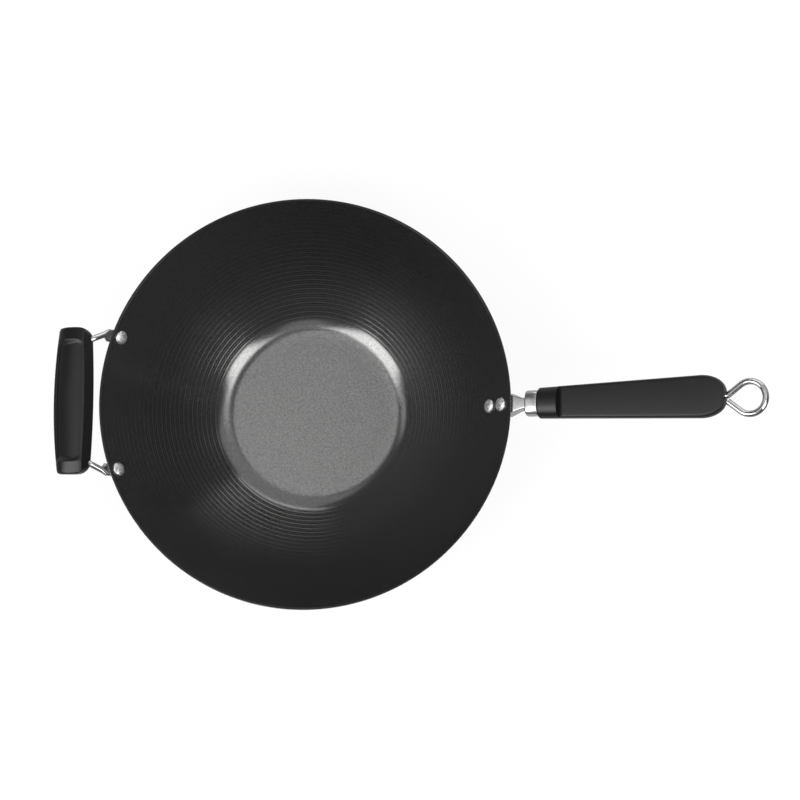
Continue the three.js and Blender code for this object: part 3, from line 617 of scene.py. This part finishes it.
def channel():
    """Loops round the sheet of the channel, from a slanted end along the wall to the end of the neck."""
    to_handle = np.linalg.inv(HANDLE) @ FOOT
    out, origin = to_handle[:3, 2], to_handle[:3, 3]
    back_level = out @ origin + SEAT_GAP + SHEET / 2
    loops = []
    for share in np.linspace(0, 1, CHANNEL_LOOPS):
        sides = []
        for inset in (0.0, SHEET):
            root = channel_section(TAPER_START - FLANGE_LEAD, inset)
            back = (back_level - root[:, 1] * out[2]) / out[0]
            along = lerp(back, NECK_END, share)
            section = np.array([channel_section(x, inset)[i] for i, x in enumerate(along)])
            sides.append(points(along, section[:, 0], section[:, 1]))
        loops.append(np.concatenate([sides[0], sides[1][::-1]]))
    return sheet_ends(np.array(loops))


def sheet_ends(loops):
    """Skin over loops that run along one face of a sheet and back along the other, with both ends closed."""
    corners, faces = loft(loops, False, False)
    rows, columns = loops.shape[:2]
    here = np.arange(columns // 2 - 1)
    across = np.stack([here, here + 1, columns - 2 - here, columns - 1 - here], -1)
    return corners, faces + across.tolist() + (across[:, ::-1] + (rows - 1) * columns).tolist()


def slab(outline, low, high, rounding):
    """Plate from a flat outline (n, 2), its edges rounded by moving the outline in towards its middle."""
    middle = outline.mean(0)
    size = np.abs(outline - middle).max(0)
    arc = quarter(PLATE_EDGE_STEPS)
    inset = np.concatenate([rounding * (1 - np.sin(arc)), rounding * (1 - np.sin(arc))[::-1]])
    level = np.concatenate([low + rounding * (1 - np.cos(arc)), high - rounding * (1 - np.cos(arc))[::-1]])
    shapes = middle + (outline - middle)[None] * (1 - inset[:, None, None] / size)
    return loft(points(shapes[..., 0], shapes[..., 1], level[:, None]))


def foot_outline():
    """Rounded rectangle of the bracket's foot, with its two lower corners rounder than its upper ones."""
    long, half = FOOT_LENGTH / 2, FOOT_WIDTH / 2
    parts = []
    for x, y, radius, start in (
        (long, half, FOOT_TOP_CORNER, 0.0),
        (-long, half, FOOT_LOW_CORNER, 0.5),
        (-long, -half, FOOT_LOW_CORNER, 1.0),
        (long, -half, FOOT_TOP_CORNER, 1.5),
    ):
        angle = np.pi * (start + np.linspace(0, 0.5, FOOT_CORNER_STEPS))
        centre = np.array([x - math.copysign(radius, x), y - math.copysign(radius, y)])
        parts.append(centre + radius * np.stack([np.cos(angle), np.sin(angle)], -1))
    return np.concatenate(parts)


def bracket():
    """Foot plate on the wall, the folded channel in front of it, and the cross wall that the nut pulls on."""
    foot = placed(slab(foot_outline(), SEAT_GAP, SEAT_GAP + SHEET, FOOT_EDGE), FOOT)
    start = NUT_FRONT + SEAT_GAP
    inner = channel_section(start, CROSS_WALL_INSET)
    side = FOLD_STEPS - 1
    low = [[inner[-side, 0], CROSS_WALL_LOW], [inner[side, 0], CROSS_WALL_LOW]]
    inner = np.concatenate([inner[side:-side], low])
    cross = loft(np.array([points(x, inner[:, 0], inner[:, 1]) for x in (start, start + SHEET)]))
    shells = [foot, placed(channel(), HANDLE), placed(cross, HANDLE)]
    piece("long_handle_bracket_sheet", shells, "long_handle_bracket", PRESSED)


def oval(x, half, above, square=ELLIPSE, below=None, square_below=None, sides=OVAL_SIDES):
    """Superellipse square to the x axis: more squareness fills its corners, and the lower half may differ."""
    angle = turns(sides)
    below = above if below is None else below
    square_below = square if square_below is None else square_below
    up = np.sin(angle) > 0
    height, fill = np.where(up, above, below), np.where(up, square, square_below)
    return points(x, half * power(np.cos(angle), 2 / fill), height * power(np.sin(angle), 2 / fill))


def neck_loop(x):
    """Outline of the bracket's neck with a gap, as the distance to its four sides at each angle."""
    top, bottom = NECK_TOP / 2 + BORE_GAP, NECK_BOTTOM / 2 + BORE_GAP
    corners = np.array([[bottom, -NECK_DEPTH - BORE_GAP], [top, CHANNEL_TOP + BORE_GAP]])
    corners = np.concatenate([corners, corners[::-1] * [-1, 1]])
    edges = np.roll(corners, -1, 0) - corners
    outward = np.stack([edges[:, 1], -edges[:, 0]], -1)
    angle = turns(OVAL_SIDES)
    ray = np.stack([np.cos(angle), np.sin(angle)], -1)
    facing = ray @ outward.T
    met = facing > 1e-9
    level = (corners * outward).sum(-1)
    distance = np.where(met, level / np.where(met, facing, 1), np.inf).min(1)
    return points(x, distance * ray[:, 0], distance * ray[:, 1])


def ferrule():
    """Cap from the neck's opening over a round shoulder and a side to a round lip, and back inside."""
    half, high = FERRULE_WIDTH / 2, FERRULE_HEIGHT / 2
    inside = FERRULE_START + FERRULE_WALL
    loops = [neck_loop(inside), neck_loop(FERRULE_START)]
    for angle in quarter(SHOULDER_STEPS):
        inset = FERRULE_ROUNDING * (1 - math.sin(angle))
        x = FERRULE_START + FERRULE_ROUNDING * (1 - math.cos(angle))
        loops.append(oval(x, half - inset, high - inset, FERRULE_SQUARE))
    for angle in np.linspace(0, np.pi, FERRULE_LIP_STEPS):
        inset = FERRULE_WALL / 2 * (1 - math.cos(angle))
        x = FERRULE_END - FERRULE_WALL / 2 * (1 - math.sin(angle))
        loops.append(oval(x, half - inset, high - inset, FERRULE_SQUARE))
    loops.append(oval(inside, half - FERRULE_WALL, high - FERRULE_WALL, FERRULE_SQUARE))
    loops.append(loops[0])
    shell = placed(loft(np.array(loops), False, False), HANDLE)
    piece("long_handle_ferrule_cap", [shell], "long_handle_ferrule", PRESSED)


def grip_loop(x, inset=0.0, width=1.0, height=1.0):
    """Oval of the grip at one place: round at the collar, and cut flat on top along the paddle.

    The flat top dips just behind the collar and falls to the sides, and the cut is a smooth minimum.
    """
    end = GRIP_TIP - ROUND_END
    along = min((x - GRIP_START) / (end - GRIP_START), 1)
    half = lerp(TIP_WIDTH / 2, lerp(GRIP_START_WIDTH, GRIP_END_WIDTH, along) / 2 - inset, width)
    paddle = ease(x, COLLAR_END, PADDLE_START)
    above = lerp(TIP_HEIGHT / 2, COLLAR_HEIGHT / 2 - inset, height)
    below = lerp(TIP_HEIGHT / 2, lerp(COLLAR_HEIGHT / 2, PADDLE_BOTTOM, paddle) - inset, height)
    square = lerp(COLLAR_SQUARE, GRIP_SQUARE, paddle)
    square_below = lerp(ELLIPSE, GRIP_LOW_SQUARE, height)
    loop = oval(x, half, above, square, below, square_below, sides=GRIP_SIDES)
    fall = (loop[:, 1] / half) ** 2 * PADDLE_FALL
    top = PADDLE_TOP - PADDLE_DIP * (1 - np.clip((x - PADDLE_START) / PADDLE_DIP_LENGTH, 0, 1)) ** 2
    level = lerp(COLLAR_HEIGHT / 2 + COLLAR_CLEAR, top, paddle)
    level = lerp(TIP_HEIGHT / 2, level, height) - fall * paddle
    soft = PADDLE_SOFT * paddle * height + LEAST_SOFT
    gap = loop[:, 2] - level
    cut = level + 0.5 * (gap - np.sqrt(gap**2 + soft**2))
    loop[:, 2] = np.where(loop[:, 2] > 0, cut, loop[:, 2])
    return loop


def grip():
    """Loops along the handle: nose in the ferrule, collar with a round edge, step, paddle, end and bore."""
    nose = FERRULE_WALL + BORE_GAP
    loops = [
        oval(x, FERRULE_WIDTH / 2 - nose, FERRULE_HEIGHT / 2 - nose, FERRULE_SQUARE, sides=GRIP_SIDES)
        for x in (FERRULE_START + FERRULE_WALL + SEAT_GAP, GRIP_START)
    ]
    for angle in quarter(GRIP_EDGE_STEPS):
        x = GRIP_START + GRIP_EDGE * (1 - math.cos(angle))
        loops.append(grip_loop(x, GRIP_EDGE * (1 - math.sin(angle))))
    dip_end, end = PADDLE_START + PADDLE_DIP_LENGTH, GRIP_TIP - ROUND_END
    collar = np.linspace(GRIP_START + GRIP_EDGE, COLLAR_LAST, COLLAR_LOOPS)[1:]
    step = np.linspace(STEP_FIRST, dip_end, STEP_LOOPS)
    paddle = np.linspace(dip_end, end, PADDLE_LOOPS)[1:]
    loops += [grip_loop(x) for x in np.concatenate([collar, step, paddle])]
    for angle in quarter(END_LOOPS)[1:]:
        near = math.cos(angle)
        loops.append(grip_loop(end + ROUND_END * math.sin(angle), 0.0, near, near**TIP_FULLNESS))
    bore = WIRE / 2 + BORE_GAP
    for x in (GRIP_TIP, GRIP_TIP - GRIP_BORE):
        loops.append(oval(x, bore, bore, sides=GRIP_SIDES))
    shell = placed(loft(np.array(loops)), HANDLE)
    piece("long_handle_grip_moulding", [shell], "long_handle_grip", MOULDED, sharp=50.0)


def tube(path, out, half, thick, square, sides):
    """Superellipse carried along a path, with its thickness along the out directions."""
    path, out = np.asarray(path, float), np.asarray(out, float)
    along = np.gradient(path, axis=0)
    along /= np.linalg.norm(along, axis=1, keepdims=True)
    up = out - (out * along).sum(1, keepdims=True) * along
    up /= np.linalg.norm(up, axis=1, keepdims=True)
    across = np.cross(up, along)
    angle = turns(sides)
    exponent = 2 / np.asarray(square, float)[:, None]
    side = (np.asarray(half, float)[:, None] * power(np.cos(angle)[None], exponent))[..., None]
    rise = (np.asarray(thick, float)[:, None] * power(np.sin(angle)[None], exponent))[..., None]
    return loft(path[:, None] + side * across[:, None] + rise * up[:, None])


def hanging_eye():
    """Round wire along the shank, a small bend, a leg, most of a circle and a leg back to the bend."""
    reach = math.hypot(EYE_CENTRE - EYE_BEND, EYE_OFFSET)
    leg = math.asin(EYE_RADIUS / reach) - math.atan2(EYE_OFFSET, EYE_CENTRE - EYE_BEND)
    angle = np.linspace(np.pi / 2 + leg, -np.pi / 2 - leg, EYE_STEPS)
    ring_x, ring_y = EYE_CENTRE + EYE_RADIUS * np.cos(angle), -EYE_OFFSET + EYE_RADIUS * np.sin(angle)
    ring = np.stack([ring_x, ring_y], -1)
    end = [EYE_BEND + EYE_END_TRIM * math.cos(leg), -2 * EYE_OFFSET - EYE_END_TRIM * math.sin(leg)]
    start = NUT_FRONT - NUT_THICKNESS - THREAD_PAST_NUT
    thread_end = NECK_END + THREAD_PAST_NECK
    thread = [[start, 0], [start + THREAD_POINT_LENGTH, 0], [thread_end, 0]]
    run_out = [[thread_end + THREAD_RUN_OUT, 0]]
    shank = [[thread_end + SHANK_LEAD, 0], [EYE_BEND, 0], ring[0]]
    flat = np.concatenate([thread, run_out, smooth_path(shank, EYE_BEND_LENGTH)[:-1], ring, [end]])
    half = np.full(len(flat), WIRE / 2)
    half[: len(thread)] = THREAD / 2 - THREAD_POINT, THREAD / 2, THREAD / 2
    path = points(flat[:, 0], flat[:, 1], 0.0)
    up, round_wire = np.tile([0.0, 0, 1], (len(path), 1)), np.full(len(path), ELLIPSE)
    shell = placed(tube(path, up, half, half, round_wire, WIRE_SIDES), HANDLE)
    piece("hanging_eye_wire", [shell], "hanging_eye", BRIGHT, TURNING)


def helper_bar():
    """Bar along its path: a flattened foot, a round leg, the cross bar in the grip, and the same back."""
    top = [FOOT_ABOVE + FOOT_FLARE, 0, SEAT_GAP + BAR / 2, 1]
    tops = np.array([(foot @ top)[:3] for foot in BAR_FEET])
    share = (tops[0, 1] - BAR_ENTRY) / (tops[0, 1] - BAR_CROSS)
    entry_x = lerp(tops[0, 0], BAR_X, share)
    entries = [[entry_x, side * BAR_ENTRY, HELPER_LEVEL] for side in (1, -1)]
    turns_in = [[BAR_X, side * BAR_CROSS, HELPER_LEVEL] for side in (1, -1)]
    middle = smooth_path([tops[0], entries[0], turns_in[0], turns_in[1], entries[1], tops[1]], BAR_BEND)
    arc = quarter(FOOT_END_STEPS)
    straight = np.linspace(FOOT_STRAIGHT, FOOT_ABOVE, FOOT_LENGTH_STEPS)
    x = np.concatenate([FOOT_ROUNDING * (1 - np.cos(arc)) - FOOT_BELOW, straight])
    wide = BAR_FOOT_WIDTH / 2
    foot_half = np.concatenate([wide - FOOT_ROUNDING * (1 - np.sin(arc)), np.full(len(straight), wide)])
    foot_line = points(x, 0.0, SEAT_GAP + BAR_FOOT_THICKNESS / 2)
    feet = [foot_line @ foot[:3, :3].T + foot[:3, 3] for foot in BAR_FEET]
    outs = [foot[:3, 2] for foot in BAR_FEET]
    weight = np.linspace(0, 1, len(middle))[:, None]
    path = np.concatenate([feet[0], middle, feet[1][::-1]])
    out = np.concatenate([
        np.tile(outs[0], (len(x), 1)),
        lerp(outs[0], outs[1], weight),
        np.tile(outs[1], (len(x), 1)),
    ])
    round_bar = np.full(len(middle), BAR / 2)
    flat, squared = np.full(len(x), BAR_FOOT_THICKNESS / 2), np.full(len(x), BAR_FOOT_SQUARE)
    half = np.concatenate([foot_half, round_bar, foot_half[::-1]])
    thick = np.concatenate([flat, round_bar, flat])
    square = np.concatenate([squared, np.full(len(middle), ELLIPSE), squared])
    shell = placed(tube(path, out, half, thick, square, BAR_SIDES), HELPER)
    piece("helper_bar", [shell], "helper_bracket", BRIGHT)


def corner_inset(y, radius):
    """Distance that a round corner takes off an edge at a place along the grip."""
    into = np.clip(np.abs(y) - HELPER_HALF + radius, 0, radius)
    return radius - np.sqrt(np.maximum(radius**2 - into**2, 0))


def helper_edges(y, inset):
    """Inner edge, ridge and outer edge of the helper grip at places along it, with bows and round corners."""
    bow = (y / HELPER_HALF) ** 2
    inner = HELPER_INNER + INNER_BOW * bow + corner_inset(y, INNER_CORNER) + inset
    outer = HELPER_INNER + HELPER_WIDTH - OUTER_BOW * bow - corner_inset(y, OUTER_CORNER) - inset
    ridge = np.maximum(HELPER_INNER + INNER_BOW * bow + RIDGE_INSET, inner + RIDGE_LEAST_INSET)
    return inner, ridge, outer


def helper_stations():
    """Places along the helper grip with the edge rounding there, close at the scoop's and the grip's ends."""
    middle = np.linspace(0, SCOOP_HALF - LOOPS_APART, MIDDLE_LOOPS)
    scoop = np.linspace(SCOOP_HALF - LOOPS_BEFORE, SCOOP_HALF + LOOPS_AFTER, SCOOP_LOOPS)
    closing = np.arcsin(np.linspace(0, 1, CORNER_LOOPS)) / (np.pi / 2)
    corner = lerp(HELPER_HALF - INNER_CORNER + CORNER_LEAD, HELPER_HALF - END_LIP, closing)
    half = np.unique(np.round(np.concatenate([middle, scoop, corner]), 4))
    lip = quarter(LIP_LOOPS)[1:]
    y = np.concatenate([half, HELPER_HALF - END_LIP + END_LIP * np.sin(lip)])
    inset = np.concatenate([np.zeros(len(half)), END_LIP * (1 - np.cos(lip))])
    return np.concatenate([-y[:0:-1], y]), np.concatenate([inset[:0:-1], inset])


def helper_upper():
    """Upper half: inner face, round ridge, crown with a scoop between the ends, and the flat split below.

    The crown is a power of a quarter ellipse. The scoop lies inside a rounded rectangle, and its slope
    follows the distance to that rectangle's edge.
    """
    y, inset = helper_stations()
    inner, ridge, outer = (edge[:, None] for edge in helper_edges(y, inset))
    past = np.maximum(np.abs(y) - SCOOP_HALF, 0) / (HELPER_HALF - SCOOP_HALF)
    yy, top = y[:, None], (RIDGE_HEIGHT - inset - END_FALL * past)[:, None]
    split = SEAT_GAP / 2
    up = np.linspace(0, 1, FACE_STEPS)[None]
    face_x, face_z = lerp(inner, ridge, FOLD_ACROSS * up**FACE_BOW), lerp(split, top, FOLD_UP * up)
    turn = np.linspace(0, 1, RIDGE_STEPS)[None, 1:]
    start_x, start_z = lerp(inner, ridge, FOLD_ACROSS), lerp(split, top, FOLD_UP)
    end_x, end_z = ridge + CROWN_START * (outer - ridge), top - CROWN_DROP
    fold_x, fold_z = quadratic(start_x, ridge, end_x, turn), quadratic(start_z, top, end_z, turn)
    fall = quarter(CROWN_STEPS)[None, 1:]
    crown_x = end_x + (outer - end_x) * np.sin(fall) ** CROWN_FULLNESS
    crown_z = lerp(-OUTER_EDGE_DROP, end_z, np.cos(fall) ** CROWN_FULLNESS)
    across = (crown_x - end_x) / (outer - end_x)
    side = np.abs(yy) - SCOOP_HALF + SCOOP_CORNER
    near = SCOOP_CORNER - (crown_x - ridge)
    distance = np.hypot(np.maximum(side, 0), np.maximum(near, 0)) - SCOOP_CORNER
    distance = distance + np.minimum(np.maximum(side, near), 0)
    mask = np.clip(-distance / lerp(SCOOP_NEAR_SLOPE, SCOOP_FAR_SLOPE, across), 0, 1)
    scoop = mask * lerp(SCOOP_SHALLOW, SCOOP_DEEP, across) * (1 - ease(across, SCOOP_CLOSING, 1.0))
    crown_z = np.maximum(crown_z - scoop, split)
    loops = np.concatenate([
        points(face_x, yy, face_z),
        points(fold_x, yy, fold_z),
        points(crown_x, yy, crown_z),
    ], 1)
    loops[..., 2] += HELPER_LEVEL
    shell = placed(loft(loops), HELPER)
    piece("helper_grip_top", [shell], "helper_grip_upper", MOULDED, sharp=50.0)


def helper_lower():
    """Lower half: the flat split, sides that turn in to a flat floor, and ends drawn in below."""
    y, inset = helper_stations()
    inner, _, outer = (edge[:, None] for edge in helper_edges(y, inset))
    floor_z = (inset - FLOOR_DEPTH)[:, None]
    t = np.linspace(0, 1, FLOOR_STEPS)[None]
    split = -SEAT_GAP / 2
    out_x = quadratic(outer, outer, outer - FLOOR_OUTER_INSET, t)
    out_z = quadratic(split, floor_z, floor_z, t)
    in_x = quadratic(inner + FLOOR_INSET, inner + FLOOR_TURN_INSET, inner, t)
    in_z = quadratic(floor_z, floor_z + FLOOR_TURN_RISE, split, t)
    x, z = np.concatenate([out_x, in_x], 1), np.concatenate([out_z, in_z], 1)
    below = np.clip((split - z) / (split - floor_z), 0, 1)
    yy = y[:, None] * (1 - FLOOR_END_INSET / HELPER_HALF * below)
    shell = placed(loft(points(x, yy, z + HELPER_LEVEL)), HELPER)
    made = piece("helper_grip_base", [shell], "helper_grip_lower", MOULDED, sharp=40.0)
    for side in (1, -1):
        sink(made, side)


def sink(made, side):
    """Cuts the recess for one screw's head out of the lower half's floor."""
    radius = SCREW_HEAD / 2 + BORE_GAP
    low, high = HELPER_LEVEL - FLOOR_DEPTH - RECESS_OVERCUT, HELPER_LEVEL + SCREW_SEAT + SEAT_GAP
    cylinder = lathe([0, radius, radius, 0], [low, low, high, high], RECESS_SIDES)
    shell = placed(cylinder, HELPER @ shift(SCREW_X, side * SCREW_HALF_SPAN, 0))
    cutter = linked("recess", joined("recess", [shell]))
    cut = made.modifiers.new("recess", "BOOLEAN")
    cut.operation, cut.object, cut.solver = "DIFFERENCE", cutter, "EXACT"
    bpy.context.view_layer.update()
    result = bpy.data.meshes.new_from_object(made.evaluated_get(bpy.context.evaluated_depsgraph_get()))
    made.modifiers.remove(cut)
    bpy.data.objects.remove(cutter)
    old, made.data = made.data, result
    bpy.data.meshes.remove(old)


def screw(node, side):
    """Head with a round edge and a slot as a height over a disc, its side, and the shank above it."""
    full = SCREW_HEAD / 2
    arc = quarter(HEAD_EDGE_STEPS)[1:]
    face = np.linspace(0, 1, HEAD_STEPS) * (full - SCREW_ROUNDING)
    radius = np.concatenate([face, full - SCREW_ROUNDING * (1 - np.sin(arc))])
    base = np.concatenate([np.zeros(len(face)), SCREW_ROUNDING * (1 - np.cos(arc))])
    angle = turns(SCREW_SIDES)[None]
    x, y = radius[:, None] * np.cos(angle), radius[:, None] * np.sin(angle)
    slot = SLOT_DEPTH * (1 - ease(np.abs(y), SLOT_WIDTH / 2 - SLOT_EDGE, SLOT_WIDTH / 2 + SLOT_EDGE))
    head = points(x, y, SCREW_SEAT - SCREW_RISE + np.maximum(base[:, None], slot))
    shank = SCREW_SHANK / 2
    rest = [(full, SCREW_SEAT), (shank, SCREW_SEAT), (shank, SCREW_TOP - shank), (0.0, SCREW_TOP)]
    upper = np.stack([points(r * np.cos(angle[0]), r * np.sin(angle[0]), z) for r, z in rest])
    where = HELPER @ shift(SCREW_X, side * SCREW_HALF_SPAN, HELPER_LEVEL)
    shell = placed(loft(np.concatenate([head, upper]), False, False), where)
    piece(node + "_slotted", [shell], node, BRIGHT)


def area_light(name, place, size, radiance):
    """Soft rectangle of light at a place, turned towards the pan and not seen by the camera."""
    data = bpy.data.lights.new(name, "AREA")
    data.shape, data.size, data.size_y = "RECTANGLE", size[0], size[1]
    data.energy = radiance * math.pi * size[0] * size[1]
    made = linked(name, data)
    z_axis = np.array(place) / np.linalg.norm(place)
    x_axis = np.cross([0.0, 0.0, 1.0], z_axis)
    x_axis /= np.linalg.norm(x_axis)
    made.matrix_world = Matrix(frame_of(x_axis, z_axis, place).tolist())
    made.visible_camera = False


def camera():
    """Camera at the photograph's place: almost straight above, leaning to the front and the long handle."""
    back = np.array([math.sin(LEAN_X), -math.sin(LEAN_Y), 0.0])
    back[2] = math.sqrt(1 - back @ back)
    level = np.cross(-back, [0.0, 1.0, 0.0])
    level /= np.linalg.norm(level)
    right = math.cos(ROLL) * level + math.sin(ROLL) * np.cross(back, level)
    data = bpy.data.cameras.new("camera")
    data.sensor_width, data.lens, data.clip_end = SENSOR, LENS, CLIP_END
    made = linked("camera", data)
    made.matrix_world = Matrix(frame_of(right, back, (AIM + DISTANCE * back) * MM).tolist())
    bpy.context.scene.camera = made


def seen_rays(base, mirrored):
    """1 for what the camera sees straight or through a piece, a share of it for mirrors, 0 for the rest."""
    rays = base.node("ShaderNodeLightPath").socket.node.outputs
    straight, glossy, through = (
        Shade(base.tree, rays[name]) for name in ("Is Camera Ray", "Is Glossy Ray", "Is Transmission Ray")
    )
    seen = straight + glossy * mirrored + through
    return base.node("ShaderNodeMath", {"operation": "MINIMUM"}, n0=seen, n1=1.0)


def lift(base, place):
    """Lifts the floor to white for the camera, and more so far away, and hides it from below.

    Mirrors see a share of the lift, which is smaller still in the room in front of the pan.
    """
    above = 1.0 - base.node("ShaderNodeNewGeometry", output="Backfacing")
    away = base.node("ShaderNodeVectorMath", {"operation": "LENGTH"}, output="Value", n0=place)
    front_room = away.step(*FRONT_REACH) * (1.0 - axes(base, place)[1].step(*BACK_REACH))
    seen = seen_rays(base, MIRRORED * (1.0 - FRONT_LOSS * front_room))
    return {"Emission_Color": seen * (1.0 + away.step(*FAR_REACH) * FAR_LIFT), "Alpha": above}


def floor():
    """Pale floor that catches the shadow."""
    corners = [(x * FLOOR_HALF, y * FLOOR_HALF, FLOOR_LEVEL) for x, y in ((-1, -1), (1, -1), (1, 1), (-1, 1))]
    mesh = bpy.data.meshes.new("floor")
    mesh.from_pydata(corners, [], [(0, 1, 2, 3)])
    pale = finish(
        "pale_floor", lift, Base_Color=grey(FLOOR_TONE), Roughness=0.9, Emission_Strength=FLOOR_LIFT
    )
    mesh.materials.append(pale)
    made = linked("floor", mesh)


def world():
    """Soft level for diffuse light, under a backdrop that the camera sees white low down and darker high up.

    Mirrors see a share of the backdrop, low down in its back half.
    """
    made = bpy.data.worlds.new("studio")
    made.use_nodes = True
    bpy.context.scene.world = made
    base = Shade(made.node_tree)
    _, back, height = axes(base, base.node("ShaderNodeTexCoord", output="Generated"))
    seen = seen_rays(base, MIRRORED * back.step(*BACK_HALF) * (1.0 - height.step(*MIRROR_TOP)))
    backdrop = 1.0 - height.step(*BACKDROP_TOP) * BACKDROP_FALL
    strength = (1.0 - seen) * WORLD_LEVEL + seen * backdrop
    background = made.node_tree.nodes["Background"]
    background.inputs["Color"].default_value = grey(1.0)
    made.node_tree.links.new(strength.socket, background.inputs["Strength"])


pan()
rivet("long_handle_rivet_upper", FOOT @ shift(LONG_RIVET_SPACING / 2, 0, 0), SHEET)
rivet("long_handle_rivet_lower", FOOT @ shift(-LONG_RIVET_SPACING / 2, 0, 0), SHEET)
bracket()
ferrule()
grip()
hanging_eye()
helper_bar()
rivet("helper_rivet_left", HELPER @ BAR_FEET[0], BAR_FOOT_THICKNESS)
rivet("helper_rivet_right", HELPER @ BAR_FEET[1], BAR_FOOT_THICKNESS)
helper_upper()
helper_lower()
screw("helper_screw_left", 1)
screw("helper_screw_right", -1)
nut = frame["nodes"]["long_handle_nut"]
nut.data.materials.clear()
nut.data.materials.append(BRIGHT)

floor()
world()
for light in LIGHTS:
    area_light(*light)
camera()
bpy.context.scene.view_settings.view_transform = "Standard"
